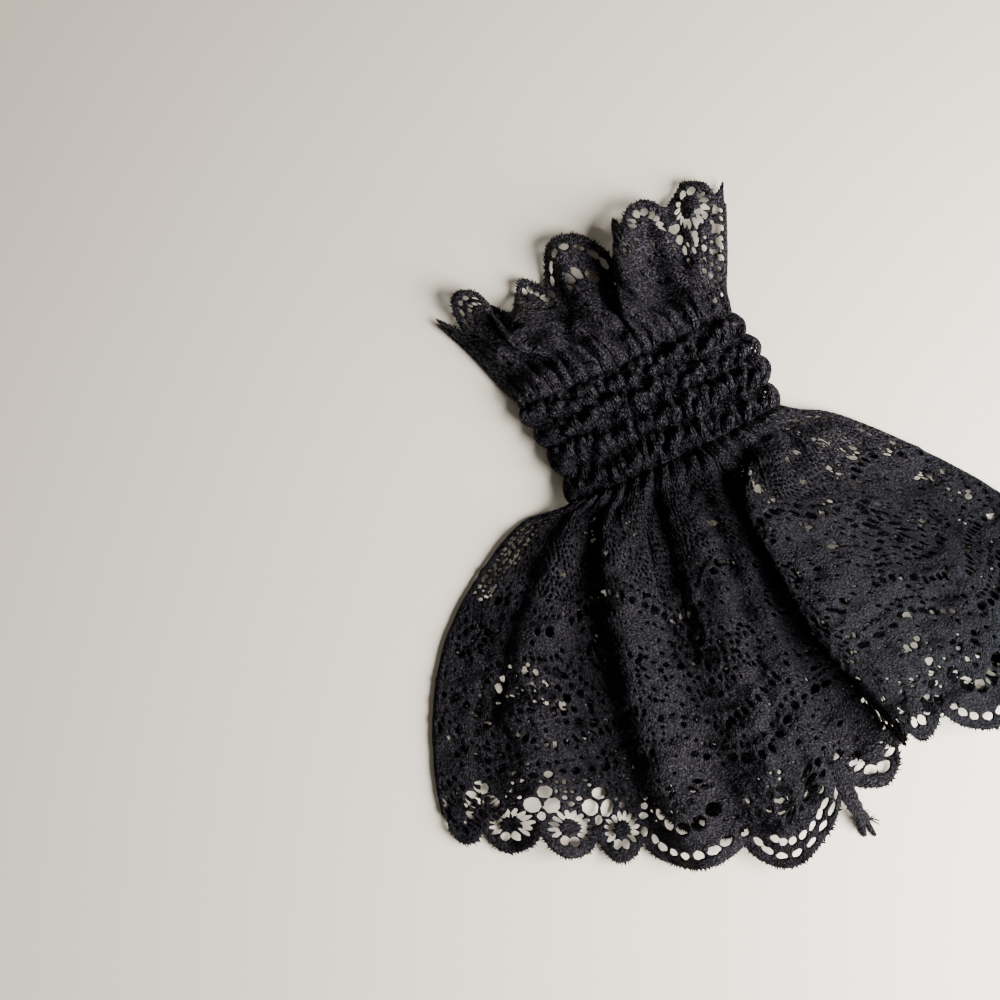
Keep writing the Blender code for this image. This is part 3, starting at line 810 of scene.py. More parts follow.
def through_places():
    """Where an opening of the front layer meets one of the back layer, so that the table
    shows: a net along the two sides of the flare and at the short ruffle's right side, and
    loose ones all over the flare, larger on its right. Rows of s, v, half the size, and how
    much more is open behind."""
    source = np.random.default_rng(17)
    places = []

    def add(side, inward, v, size, behind=0.9):
        """A place so far inward from the right side, which is 1, or from the left, -1."""
        half = plan(np.array([0.0]), np.array([v]))[3][0]
        places.append((side * (1.0 - inward / half), v, size, behind))

    for side, behind in ((-1.0, 2.0), (1.0, 1.1)):
        for v in np.arange(82.0, 128.0, 2.2):
            for rank in range(3):
                inward = 1.9 + 2.3 * rank + source.uniform(-0.3, 0.3)
                size = source.uniform(0.45, 0.8) * (1.0 - 0.1 * rank)
                v_here = v + 1.1 * (rank % 2) + source.uniform(-0.4, 0.4)
                if side < 0.0 or source.uniform() < 0.5:
                    add(side, inward, v_here, size, behind)
    for v in np.arange(12.0, 36.0, 2.6):
        for rank in range(4):
            size = source.uniform(0.6, 1.15)
            if rank < 3 - 0.08 * v + source.uniform(0.0, 2.0):
                inward = 2.2 + 2.6 * rank + source.uniform(-0.4, 0.4)
                add(1.0, inward, v + 1.3 * (rank % 2), size)
    for _ in range(44):
        inward = abs(source.normal(0.0, 45.0)) + 2.0
        add(-1.0, inward, source.uniform(90.0, 186.0), source.uniform(0.3, 0.7))
    for _ in range(84):
        inward = abs(source.normal(0.0, 21.0)) + 2.0
        v = 188.0 - 90.0 * source.uniform() ** 1.2
        add(1.0, inward, v, 0.35 + 0.95 * source.uniform() ** 1.6)
    return places


def laid_stretch(points, canvas):
    """How long one mm of the flat lace is as it lies, seen from above, along u and along v."""
    along = np.gradient(points[..., :2], canvas.u, axis=1)
    down = np.gradient(points[..., :2], canvas.v, axis=0)
    return [np.clip(np.linalg.norm(way, axis=-1), 0.42, 1.5) for way in (along, down)]


def open_front(canvas, points, across):
    """Cuts the openings into the front layer. The result is where the lines of sight
    through them meet the back layer, and half their sizes there."""
    found = []
    wide, deep = laid_stretch(points, canvas)
    for s, v, size, behind in through_places():
        j = int(np.searchsorted(canvas.v, v))
        i = min(int(np.searchsorted(across[j], s)), len(canvas.u) - 1)
        canvas.oval(canvas.u[i], v, size / wide[j, i], size / deep[j, i], 0.0, True)
        spot = points[j, i]
        sight = spot - EYE
        found.append((spot + sight * (spot[2] - BACK_LEVEL) / -sight[2], size + behind))
    return found


def open_back(canvas, points, seen):
    """Cuts the back layer's openings, a little larger, under those of the front."""
    wide, deep = laid_stretch(points, canvas)
    for spot, size in seen:
        away = np.hypot(points[..., 0] - spot[0], points[..., 1] - spot[1])
        j, i = np.unravel_index(np.argmin(away), away.shape)
        if away[j, i] < 1.0:
            canvas.oval(canvas.u[i], canvas.v[j], size / wide[j, i], size / deep[j, i], 0.0, True)


def draw_lace(length, cells, seed):
    """The whole lace of one layer, drawn flat."""
    canvas = Canvas(length, cells, seed)
    v = canvas.v[:, None]
    strip = np.minimum(v - SCALLOP_ROOT, STRIP_DEPTH - SCALLOP_ROOT - v)
    canvas.depth = np.maximum(canvas.depth, strip)
    top = Edge(canvas, False)
    hem = Edge(canvas, True)
    for edge in (top, hem):
        draw_scallops(edge)
    draw_net(canvas)
    for base in hem.bases:
        for k in range(4):
            draw_sprig(hem, base + (0.25 * k + 0.125) * REPEAT, 103.0 + 5.0 * (k % 2))
    for edge in (top, hem):
        draw_border(edge)
    if length == FRONT_LENGTH:
        for u, v_middle, half_u, half_v in CLOSED:
            canvas.oval(u, v_middle, half_u, half_v, 0.0, False)
    hole_row(top, *TOP_FESTOON)
    draw_body(hem)
    scatter_small_holes(canvas, seed)
    canvas.depth += UNEVEN * ripples(canvas.u[None, :], v, 1.9, seed + 60)
    for height, sag in FESTOON_CORDS:
        line = v - (STRIP_DEPTH - festoon(canvas.u[None, :], height, sag))
        canvas.cord = np.maximum(canvas.cord, np.exp(-((line / CORD_WIDTH) ** 2)))
    side = np.minimum(canvas.u, length - canvas.u)[None, :]
    selvedge = np.minimum(np.maximum(canvas.depth, SELVEDGE - side), np.minimum(strip, 1.0))
    canvas.depth = np.where(side < SELVEDGE, selvedge, canvas.depth)
    return canvas


def pucker_height(u, v):
    """Height of the gathers. Between two rows of elastic stand uneven puffs, each row with
    its own, pinched low on the threads. Pleats leave the band and get fewer and wider."""
    seed = 11
    share = u / FRONT_LENGTH
    pressed = u * BAND_PRESS
    beyond = np.maximum(BAND_TOP - v, v - BAND_END)
    bent = v + 1.5 * ripples(pressed, v, 15.0, seed + 9) * smooth_step(0.0, 5.0, -beyond)
    row = np.clip(np.floor((bent - BAND_TOP) / ELASTIC_PITCH), 0, ELASTIC_ROWS - 2)
    wave = np.zeros(np.broadcast(u, v).shape)
    for k in range(ELASTIC_ROWS - 1):
        wander = 1.7 * ripples(pressed, v, 13.0, seed + 10 + k)
        puffs = 0.5 + 0.5 * np.cos(math.tau * (PUFFS + 2.0 * (k % 2)) * share + wander + 1.9 * k)
        wave = np.where(row == k, puffs, wave)
    knobs = ripples(pressed, v, 6.0, seed + 20) + 0.7 * ripples(pressed, v, 3.2, seed + 21)
    pinch = 0.3 + 0.7 * np.sin(math.pi * (bent - BAND_TOP) / ELASTIC_PITCH) ** 2
    puff = pinch * (1.1 + 2.0 * wave + 0.9 * knobs) + 0.4 + 0.35 * knobs
    wobble = 0.9 * ripples(u, v, 34.0, seed) + 0.5 * ripples(u, v * 2.2, 19.0, seed + 1)
    fine = 0.5 + 0.5 * np.cos(math.tau * NEAR_PLEATS * share + wobble)
    wide = 0.5 + 0.5 * np.cos(math.tau * FAR_PLEATS * share + 0.6 * wobble)
    out = np.maximum(beyond, 0.0)
    near = np.exp(-((out / 14.0) ** 2)) * smooth_step(-1.0, 4.0, beyond)
    far = smooth_step(0.0, 14.0, beyond) * np.exp(-((out / 40.0) ** 2))
    uneven = np.clip(1.0 + 0.35 * ripples(u, v, 27.0, seed + 2), 0.3, 1.8)
    pleats = (2.9 * near * fine**0.8 + 3.0 * far * wide) * uneven
    return np.maximum(np.where(beyond < 0.0, puff, 0.45 * near + pleats), 0.0)


def side_rounding(s, sharpness):
    """1 across the sheet and 0 at its two sides."""
    return np.sqrt(np.clip(1.0 - np.abs(s) ** sharpness, 0.0, 1.0))


def front_points(u, v):
    """Places of the front layer's middle line over a grid of u and v."""
    s, shown = across_from_strip(front_sheet, FRONT_LENGTH, u, v)
    down = v[:, None]
    points = front_sheet(s, down)
    pucker = pucker_height(u[None, :], down)
    crumple = 0.7 * ripples(points[..., 0], points[..., 1], 18.0, 5)
    crumple = crumple + 0.38 * ripples(points[..., 0], points[..., 1], 7.5, 6)
    free = 1.0 - band_share(down, 0.0)
    lift = points[..., 2] + FRONT_OVER + pucker + crumple * free
    low = FRONT_LOW + FRONT_LOW_BAND * band_share(down, 3.0)
    points[..., 2] = low + (np.maximum(lift, low + 0.25) - low) * side_rounding(s, 10.0)
    return points, shown, s


def back_points(u, v):
    """Places of the back layer's middle line over a grid of u and v."""
    s, shown = across_from_strip(back_sheet, BACK_LENGTH, u, v)
    across = u[None, :]
    down = v[:, None]
    hem = curve(BACK_SHORT, SHORT_COLUMNS, "hem", s) * smooth_step(140.0, STRIP_DEPTH, down)
    top = curve(BACK_SHORT, SHORT_COLUMNS, "top", s) * smooth_step(BAND_TOP, 0.0, down)
    drawn = down - hem + top
    shown = shown * np.gradient(drawn, v, axis=0)
    points = back_sheet(s, drawn)
    wander = ripples(across, down, 25.0, 31)
    pucker = 0.5 + 0.5 * np.cos(math.tau * BACK_PUCKERS * across / BACK_LENGTH + wander)
    gathers = 0.25 + 2.6 * pucker * (0.55 + 0.45 * puff_row(down))
    level = BACK_OVER + band_share(down, 2.0) * gathers
    low = BACK_LOW + BACK_LOW_BAND * band_share(down, 3.0)
    points[..., 2] = low + (level - low) * side_rounding(s, 14.0)
    return points, shown, s


def unit(vectors):
    """Vectors made one long."""
    return vectors / np.maximum(np.linalg.norm(vectors, axis=-1, keepdims=True), 1e-12)


def ways_along(path):
    """The unit ways ahead, level to the side, and upward, at each place of a path."""
    ahead = unit(np.gradient(path, axis=0))
    side = unit(np.cross(ahead, UP))
    return ahead, side, np.cross(side, ahead)


def grid_normals(points):
    """Upward normals of a grid of points, from the steps along and down it."""
    along = np.gradient(points, axis=1)
    down = np.gradient(points, axis=0)
    return unit(np.cross(down, along))


def thread_height(depth, cord, stitches):
    """Half the lace's thickness: round towards every hole, with a raised cord beside it and
    along the motifs, and rows of stitches over the rest."""
    t = np.clip(depth / THREAD_ROUND, 0.0, 1.0)
    rounded = np.sqrt(1.0 - (1.0 - t) ** 2)
    rim = RIM * np.exp(-(((depth - RIM_MIDDLE) / RIM_WIDTH) ** 2))
    return rounded * (THREAD_HALF + rim + CORD * cord + STITCH * stitches)


def grain_field(u, v):
    """The way the stitches run, as the cosine and sine of twice their angle."""
    hem = STRIP_DEPTH - v
    angle = 1.1 * np.sin(math.tau * (u - FIRST_WHEELS) / HALF_REPEAT)
    angle = angle * np.cos(math.tau * hem / 71.0) + 0.6 * ripples(u, v, 40.0, 77, 6) + 0.25 * math.pi
    return np.cos(2.0 * angle), np.sin(2.0 * angle)


def stitch_rows(u, v, cosine, sine):
    """Rows of stitches as a wave about 0: four waves, each one way, weighed by how near
    that way is to the grain."""
    wander = 1.6 * ripples(u, v, 7.0, 41)
    total = 0.0
    weights = 0.0
    for k in range(4):
        turn = 0.25 * math.pi * k
        run = v * math.cos(turn) - u * math.sin(turn)
        weight = np.maximum(cosine * math.cos(2.0 * turn) + sine * math.sin(2.0 * turn), 0.0) + 0.02
        total = total + weight * np.cos(math.tau * run / STITCH_PITCH + wander + k)
        weights = weights + weight
    return total / weights


def cut_triangles(depth):
    """Triangles of the part of a grid that is inside the thread: each cell is split in two,
    and each half is cut where the depth crosses 0. Returns the corner keys, as pairs of grid
    places, one pair for each triangle corner; a pair of equal places is a grid point itself."""
    rows, cols = depth.shape
    place = np.arange(rows * cols).reshape(rows, cols)
    a = place[:-1, :-1].ravel()
    b = place[:-1, 1:].ravel()
    c = place[1:, 1:].ravel()
    d = place[1:, :-1].ravel()
    halves = np.concatenate([np.stack([a, b, c], 1), np.stack([a, c, d], 1)])
    inside = depth.ravel()[halves] > 0.0
    count = inside.sum(axis=1)
    whole = halves[count == 3]
    found = [np.stack([whole, whole], axis=2)]
    for kind in (1, 2):
        lone = np.argmax(inside[count == kind] == (kind == 1), axis=1)
        order = (lone[:, None] + np.arange(3)) % 3
        p, q, r = np.take_along_axis(halves[count == kind], order, 1).T
        if kind == 1:
            cuts = (((p, p), (p, q), (p, r)),)
        else:
            cuts = (((q, q), (r, r), (p, q)), ((r, r), (p, r), (p, q)))
        for corners in cuts:
            found.append(np.stack([np.stack(pair, 1) for pair in corners], 1))
    return np.concatenate(found)


def side_walls(top, under, on_rim):
    """Walls between the open ends of the upper and the lower surface. There are none along
    the rims of the holes, where the two meet."""
    ends = np.concatenate([top[:, [0, 1]], top[:, [1, 2]], top[:, [2, 0]]]).astype(np.int64)
    size = under.max() + 1
    forward = ends[:, 0] * size + ends[:, 1]
    backward = ends[:, 1] * size + ends[:, 0]
    open_ends = ends[~np.isin(forward, backward)]
    p, q = open_ends[~(on_rim[open_ends[:, 0]] & on_rim[open_ends[:, 1]])].T
    first_wall = np.stack([q, p, under[p]], 1)[under[p] != p]
    second_wall = np.stack([q, under[p], under[q]], 1)[under[q] != q]
    return first_wall, second_wall


def lace_mesh(name, canvas, points, normals, shown, first, last):
    """One closed piece of lace from the columns first to last of a canvas: an upper and a
    lower surface that meet along every hole, with a wall where the piece is cut off."""
    chosen = slice(first, last + 1)
    depth = canvas.depth[:, chosen]
    flat_u, flat_v = [way.ravel() for way in np.meshgrid(canvas.u[chosen], canvas.v)]
    values = depth.ravel()

    keys = np.sort(cut_triangles(depth), axis=2)
    codes = keys[..., 0].astype(np.int64) * depth.size + keys[..., 1]
    unique, inverse = np.unique(codes.ravel(), return_inverse=True)
    top = inverse.reshape(-1, 3)
    one = unique // depth.size
    two = unique % depth.size
    on_rim = one != two
    gap = np.where(on_rim, values[one] - values[two], 1.0)
    part = np.where(on_rim, np.clip(values[one] / gap, 0.06, 0.94), 0.0)[:, None]

    def at_corners(grid):
        """Values of a grid where the corners lie, each on the line between its two places."""
        flat = grid.reshape(depth.size, -1)
        return flat[one] * (1.0 - part) + flat[two] * part

    def for_both(corners):
        """What the upper surface's corners have, and then the lower one's."""
        return np.concatenate([corners, corners[~on_rim]])

    place = at_corners(points[:, chosen])
    up = unit(at_corners(normals[:, chosen]))
    cords = canvas.cord[:, chosen].ravel()
    stitches = stitch_rows(flat_u, flat_v, *grain_field(flat_u, flat_v))
    high = np.where(on_rim, 0.0, thread_height(values[one], cords[one], stitches[one]))[:, None]
    under = np.arange(len(unique))
    under[~on_rim] = len(unique) + np.arange(np.count_nonzero(~on_rim))
    vertices = np.concatenate([place + up * high, (place - up * high * UNDER_SHARE)[~on_rim]])
    faces = np.concatenate([top, under[top][:, ::-1], *side_walls(top, under, on_rim)])
    item = thread_piece(name, vertices, faces)
    strip_u = for_both(at_corners(flat_u).ravel())
    strip_v = for_both(at_corners(flat_v).ravel())
    add_attribute(item, "cloth", strip_u, strip_v)
    add_attribute(item, "grain", *grain_field(strip_u, strip_v))

    cells = np.outer(np.gradient(canvas.v), np.gradient(canvas.u)) * shown
    return item, float(cells[:, chosen][depth > 0.0].sum())


def new_item(name, data):
    """An object in the scene for a mesh, a lamp or a camera."""
    item = bpy.data.objects.new(name, data)
    bpy.context.scene.collection.objects.link(item)
    return item


def new_piece(name, vertices, faces):
    """A mesh object of triangles or quads, shaded smooth."""
    mesh = bpy.data.meshes.new(name)
    faces = np.asarray(faces)
    sides = faces.shape[1]
    mesh.vertices.add(len(vertices))
    mesh.vertices.foreach_set("co", np.asarray(vertices, np.float32).ravel())
    mesh.loops.add(faces.size)
    mesh.loops.foreach_set("vertex_index", faces.astype(np.int32).ravel())
    mesh.polygons.add(len(faces))
    mesh.polygons.foreach_set("loop_start", np.arange(0, faces.size, sides, dtype=np.int32))
    mesh.update(calc_edges=True)
    mesh.validate()
    mesh.shade_smooth()
    return new_item(name, mesh)


def thread_piece(name, vertices, faces):
    """A piece from millimetres, kept clear of the table."""
    vertices[:, 2] = np.maximum(vertices[:, 2], TABLE_CLEAR)
    return new_piece(name, vertices * MM, faces)


def add_attribute(item, name, first, second):
    """Two values for each vertex, which the material reads as a vector."""
    layer = item.data.attributes.new(name, "FLOAT_VECTOR", "POINT")
    values = np.stack([first, second, np.zeros_like(first)], 1)
    layer.data.foreach_set("vector", values.astype(np.float32).ravel())


def on_grid(values, canvas, u, v):
    """Values of a grid at any u and v, on straight lines between its points and past its edges."""
    i = np.clip(np.searchsorted(canvas.u, u) - 1, 0, len(canvas.u) - 2)
    j = np.clip(np.searchsorted(canvas.v, v) - 1, 0, len(canvas.v) - 2)
    a = ((u - canvas.u[i]) / (canvas.u[i + 1] - canvas.u[i]))[:, None]
    b = ((v - canvas.v[j]) / (canvas.v[j + 1] - canvas.v[j]))[:, None]
    upper = values[j, i] * (1.0 - a) + values[j, i + 1] * a
    lower = values[j + 1, i] * (1.0 - a) + values[j + 1, i + 1] * a
    return upper * (1.0 - b) + lower * b


def tube(path, half_wide, half_high, sides):
    """A closed tube: an ellipse carried along a path, its wide axis level and across the
    path, with a point at each end."""
    _, side, up = ways_along(path)
    turn = np.arange(sides) * math.tau / sides
    wide = (side[:, None, :] * np.cos(turn)[None, :, None]) * np.reshape(half_wide, (-1, 1, 1))
    high = (up[:, None, :] * np.sin(turn)[None, :, None]) * np.reshape(half_high, (-1, 1, 1))
    rings = path[:, None, :] + wide + high
    count = len(path)
    vertices = np.concatenate([rings.reshape(-1, 3), path[:1], path[-1:]])
    ring = np.arange(sides)
    after = (ring + 1) % sides
    base = np.arange(count - 1)[:, None] * sides
    a = (base + ring).ravel()
    b = (base + after).ravel()
    c = b + sides
    d = a + sides
    last = (count - 1) * sides
    faces = [
        np.stack([a, c, b], 1),
        np.stack([a, d, c], 1),
        np.stack([ring, after, np.full(sides, count * sides)], 1),
        np.stack([last + after, last + ring, np.full(sides, count * sides + 1)], 1),
    ]
    return vertices, np.concatenate(faces)


def join(parts):
    """Several meshes, as vertices and faces, made one."""
    vertices = []
    faces = []
    base = 0
    for some_vertices, some_faces in parts:
        vertices.append(some_vertices)
        faces.append(some_faces + base)
        base += len(some_vertices)
    return np.concatenate(vertices), np.concatenate(faces)


def dress(item, node, material):
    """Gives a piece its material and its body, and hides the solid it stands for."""
    item.data.materials.append(material)
    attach(item, "root")
    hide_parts(node)
    return item


def outline_places(length, seed, is_hem):
    """Places on the scallops' outlines: along and inward from an edge, and the outward way."""
    source = np.random.default_rng(seed)
    wheel_middle, wheel_deep = WHEEL_SHAPE[is_hem]
    found = []
    for base in repeat_bases(length, is_hem):
        scallops = []
        for k in range(WHEELS):
            middle = base + (k + 0.5) * WHEEL_WIDTH
            scallops.append((middle, wheel_middle, WHEEL_HALF, wheel_deep, WHEEL_WIDTH))
        for k in range(FANS):
            middle = base + WHEELS_WIDTH + (k + 0.5) * FAN_WIDTH
            scallops.append((middle, FAN_DEEP, FAN_HALF, FAN_DEEP, FAN_WIDTH))
        for middle, inward, half_along, half_inward, width in scallops:
            count = int(1.25 * width / PICOT_STEP)
            offset = (np.arange(count) + source.uniform(0.1, 0.9, count)) / count * 2.0 - 1.0
            turn = np.arcsin(offset * 0.5 * width / half_along * 0.99)
            along = half_along * np.sin(turn)
            depth = inward - half_inward * np.cos(turn)
            way = unit(np.stack([np.sin(turn) / half_along, -np.cos(turn) / half_inward], 1))
            found.append(np.column_stack([middle + along, depth, way]))
    found = np.concatenate(found)
    return found[(found[:, 0] > 0.6) & (found[:, 0] < length - 0.6)]


def picots(name, canvas, points, normals, seed):
    """The rough edge: thin spikes of thread, each a three-sided point, all along both borders."""
    source = np.random.default_rng(seed)
    parts = []
    for is_hem in (False, True):
        found = outline_places(canvas.length, seed + is_hem, is_hem)
        count = len(found)
        u, inward, out_u, out_inward = found.T
        row = STRIP_DEPTH - inward if is_hem else inward
        length = source.uniform(0.4, 1.45, count)
        lean = source.normal(0.0, 0.35, count)
        way_u = out_u - out_inward * lean
        way_v = (-1.0 if is_hem else 1.0) * (out_inward + out_u * lean)
        root = on_grid(points, canvas, u - PICOT_ROOT * way_u, row - PICOT_ROOT * way_v)
        tip = on_grid(points, canvas, u + length * way_u, row + length * way_v)
        ahead = unit(tip - root)
        tip = root + ahead * (length + PICOT_ROOT)[:, None]
        side = unit(np.cross(ahead, on_grid(normals, canvas, u, row)))
        up = np.cross(side, ahead)
        wide = source.uniform(0.28, 0.52, count)[:, None]
        tip = tip + up * source.normal(0.0, 0.2, count)[:, None]
        tip[:, 2] = np.maximum(tip[:, 2], 0.1)
        corners = [root + side * wide, root - side * wide, root + up * wide * 1.2, tip]
        vertices = np.stack(corners, axis=1).reshape(-1, 3)
        base = 4 * np.arange(count)[:, None, None]
        spike = np.array([(0, 1, 2), (0, 3, 1), (1, 3, 2), (2, 3, 0)])
        parts.append((vertices, (base + spike).reshape(-1, 3)))
    return thread_piece(name, *join(parts))


def elastic_thread(name, row, canvas, points):
    """One row of elastic: two strands twisted round each other, drawn down into the gathers."""
    u = np.linspace(0.035, 0.965, ELASTIC_STATIONS) * canvas.length
    path = on_grid(points, canvas, u, np.full(len(u), BAND_TOP + row * ELASTIC_PITCH))
    path = np.stack([moving_mean(path[:, axis], 4) for axis in range(3)], 1)
    path[:, 2] -= 0.1
    run = np.concatenate([[0.0], np.cumsum(np.linalg.norm(np.diff(path, axis=0), axis=1))])
    _, side, up = ways_along(path)
    parts = []
    for strand in range(2):
        turn = (math.tau * run / ELASTIC_TWIST + strand * math.pi)[:, None]
        centre = path + ELASTIC_APART * (side * np.cos(turn) + up * np.sin(turn))
        parts.append(tube(centre, ELASTIC_HALF, ELASTIC_HALF, 5))
    return thread_piece(name, *join(parts))


def seam_tail():
    """The seam's loose end: a flat rolled strip of lace that splits into stubs and hairs."""
    places = np.array([row[:3] for row in TAIL]) - np.array([*FOOTPRINT_MIDDLE, 0.0])
    knots = np.arange(len(TAIL), dtype=float)
    t = np.linspace(0.0, len(TAIL) - 1.0, TAIL_PLACES)
    path = np.stack([smooth_table(t, knots, places[:, axis]) for axis in range(3)], 1)
    path[:, 2] += 0.55
    rough = 1.0 + 0.16 * ripples(t * 9.0, np.zeros_like(t), 6.0, 91)
    wide = smooth_table(t, knots, column(TAIL, TAIL_COLUMNS, "half_width")) * rough * 1.15
    path, rough, wide = [line[:TAIL_UNSPLIT] for line in (path, rough, wide)]
    parts = [tube(path, wide, 0.5 + 0.1 * rough, 14)]
    source = np.random.default_rng(92)
    ahead = unit(path[-1] - path[-8])
    side = unit(np.cross(ahead, UP))
    for shift, spread, length, thick in TAIL_STUBS:
        run = np.linspace(0.0, 1.0, 12)[:, None]
        line = path[-5] + side * shift + unit(ahead + spread * side) * run * length
        line = line + side * 0.3 * spread * np.sin(3.0 * run)
        line[:, 2] = 0.9 + 0.3 * np.cos(3.0 * run[:, 0])
        half_wide = thick * (1.0 - 0.4 * run[:, 0] ** 4)
        parts.append(tube(line, half_wide, 0.6 * (1.0 - 0.5 * run[:, 0]), 7))
    for _ in range(TAIL_HAIRS):
        at = source.uniform(0.25, 1.0) ** 0.6
        station = int(at * (TAIL_UNSPLIT - 1))
        root = path[station]
        forward = ahead * source.uniform(0.2, 1.0)
        outward = side * source.choice((-1.0, 1.0)) * source.uniform(0.4, 1.0)
        run = np.linspace(0.0, 1.0, 5)[:, None]
        reach = wide[station] + source.uniform(0.4, 1.6) * (0.6 + at)
        line = root + unit(forward + outward) * run * reach
        level = root[2] * (1.0 - 0.4 * run[:, 0]) + 0.2 * np.sin(3.0 * run[:, 0])
        line[:, 2] = np.maximum(level, 0.25)
        parts.append(tube(line, 0.11, 0.11, 3))
    vertices, faces = join(parts)
    item = thread_piece("frayed_tail", vertices, faces)
    flat = vertices[:, :2] @ np.array([[0.6, -0.8], [0.8, 0.6]])
    add_attribute(item, "cloth", flat[:, 0], flat[:, 1])
    add_attribute(item, "grain", np.full(len(flat), -0.6), np.full(len(flat), 0.8))
    return item


class Shade:
    """A socket of a material, with maths on it written as plain expressions."""

    def __init__(self, finish, socket):
        self.finish = finish
        self.socket = socket

    def maths(self, operation, first, second):
        """A maths node on two values or sockets."""
        return self.finish.node("ShaderNodeMath", {"operation": operation}, {0: first, 1: second})

    def __add__(self, other):
        return self.maths("ADD", self, other)

    __radd__ = __add__

    def __sub__(self, other):
        return self.maths("SUBTRACT", self, other)

    def __mul__(self, other):
        return self.maths("MULTIPLY", self, other)

    def __truediv__(self, other):
        return self.maths("DIVIDE", self, other)

    def __pow__(self, other):
        return self.maths("POWER", self, other)

    def above(self, level):
        """The value, but level where it is lower."""
        return self.maths("MAXIMUM", self, level)

    def below(self, level):
        """The value, but level where it is higher."""
        return self.maths("MINIMUM", self, level)


class Finish:
    """A procedural material round one Principled shader."""

    def __init__(self, name):
        self.material = bpy.data.materials.new(name)
        self.material.use_nodes = True
        self.tree = self.material.node_tree
        self.shader = self.tree.nodes["Principled BSDF"]

    def put(self, socket, value):
        """Links a value to a socket, or sets it there."""
        if isinstance(value, Shade):
            self.tree.links.new(value.socket, socket)
        else:
            socket.default_value = value

    def node(self, kind, settings, values, output=0):
        """Any node: its type, its settings, and the values or links of its sockets. The setting
        named stops gives the places of a ramp's black and white ends."""
        made = self.tree.nodes.new(kind)
        for name, value in settings.items():
            if name == "stops":
                for element, place in zip(made.color_ramp.elements, value):
                    element.position = place
            else:
                setattr(made, name, value)
        for name, value in values.items():
            self.put(made.inputs[name], value)
        return Shade(self, made.outputs[output])

    def set(self, **values):
        """Sets the shader's own sockets; an underscore in a name stands for a space."""
        for name, value in values.items():
            self.put(self.shader.inputs[name.replace("_", " ")], value)


def piece_place(finish):
    """Where a point lies on its piece, which is where it lies in the scene."""
    return finish.node("ShaderNodeTexCoord", {}, {}, output=3)


def noise(finish, where, scale, detail, dimensions="3D"):
    """Soft noise about one half."""
    settings = {"noise_dimensions": dimensions}
    return finish.node("ShaderNodeTexNoise", settings, {"Vector": where, "Scale": scale, "Detail": detail})


def ramp(finish, value, low, high):
    """Black below low, white above high, and grey between them."""
    return finish.node("ShaderNodeValToRGB", {"stops": (low, high)}, {"Fac": value})


def mix(finish, share, first, second):
    """The first colour where the share is 0 and the second where it is 1."""
    return finish.node("ShaderNodeMix", {"data_type": "RGBA"}, {0: share, 6: first, 7: second}, output=2)


def bump(finish, height, strength, distance):
    """A surface roughened by a height."""
    values = {"Height": height, "Strength": strength, "Distance": distance}
    return finish.node("ShaderNodeBump", {}, values)


def first_two(finish, vector):
    """The first and the second part of a vector."""
    first = finish.node("ShaderNodeSeparateXYZ", {}, {"Vector": vector})
    return first, Shade(finish, first.socket.node.outputs[1])


def stitch_pattern(finish):
    """Short parallel stitches in the cloth's own measure: four stretched noises, each
    along one direction, weighed by how near it is to the grain."""
    cloth = finish.node("ShaderNodeAttribute", {"attribute_name": "cloth"}, {}, output=1)
    grain = finish.node("ShaderNodeAttribute", {"attribute_name": "grain"}, {}, output=1)
    cosine, sine = first_two(finish, grain)
    total = None
    weights = None
    for k in range(4):
        turn = k * 0.25 * math.pi
        values = {"Vector": cloth, "Rotation": (0.0, 0.0, turn), "Scale": (1.0, 0.36, 1.0)}
        turned = finish.node("ShaderNodeMapping", {"vector_type": "TEXTURE"}, values)
        weight = (cosine * math.cos(2.0 * turn) + sine * math.sin(2.0 * turn)).above(0.0) ** 1.4 + 0.02
        part = noise(finish, turned, 1.0, 1.0, "2D") * weight
        total = part if total is None else total + part
        weights = weight if weights is None else weights + weight
    return total / weights


def lace_finish():
    """Matte black embroidery thread: short stitches with painted highlights on their tops and painted
    shade between them, a faint sheen, a purple cast or, here and there, a navy one, and a painted darker
    navy tone towards the right side.
    On the short ruffle it is painted paler, as painted light."""
    finish = Finish("black_lace")
    stitches = stitch_pattern(finish)
    where = piece_place(finish)
    grain = noise(finish, where, 1300.0, 1.0)
    # Painted highlight and shade: where the stitches and fine grain rise, the colour goes up to the cast
    # as painted glints of thread sheen; between them it drops to near black as painted shade in the
    # grooves.
    painted_glint_share = ramp(finish, stitches * 0.5 + grain * 0.5, 0.48, 0.61)
    patches = ramp(finish, noise(finish, where, 22.0, 2.0), 0.38, 0.62)
    x, y = first_two(finish, where)
    # The random patches are the lace's own navy tone. The navy that takes over towards the right side, at
    # x above about 21 mm, is painted light: a darker, bluer tone standing in for the light on that side,
    # not the lace's colour.
    navy_patches_and_painted_side_tone = (patches * 0.5 + (x * 14.0 - 0.3).above(0.0)).below(1.0)
    # Painted light: towards +y, on the short ruffle, the cast is painted paler to stand in for brighter
    # light falling there.
    painted_light_share = (y * 26.0 - 0.1).above(0.0).below(1.0)
    cast = mix(finish, navy_patches_and_painted_side_tone, (0.0225, 0.0185, 0.0255, 1.0), (0.0102, 0.0107, 0.0172, 1.0))
    cast = mix(finish, painted_light_share, cast, (0.0520, 0.0450, 0.0570, 1.0))
    finish.set(
        # Base colour: near black as painted shade in the grooves, the cast as painted highlights on the
        # stitch tops.
        Base_Color=mix(finish, painted_glint_share, (0.0012, 0.0011, 0.0016, 1.0), cast),
        Roughness=0.68 + painted_glint_share * -0.2,
        Metallic=0.0,
        Specular_IOR_Level=0.1,
        Normal=bump(finish, stitches + grain * 0.8, 1.0, 0.0008),
    )
    return finish.material


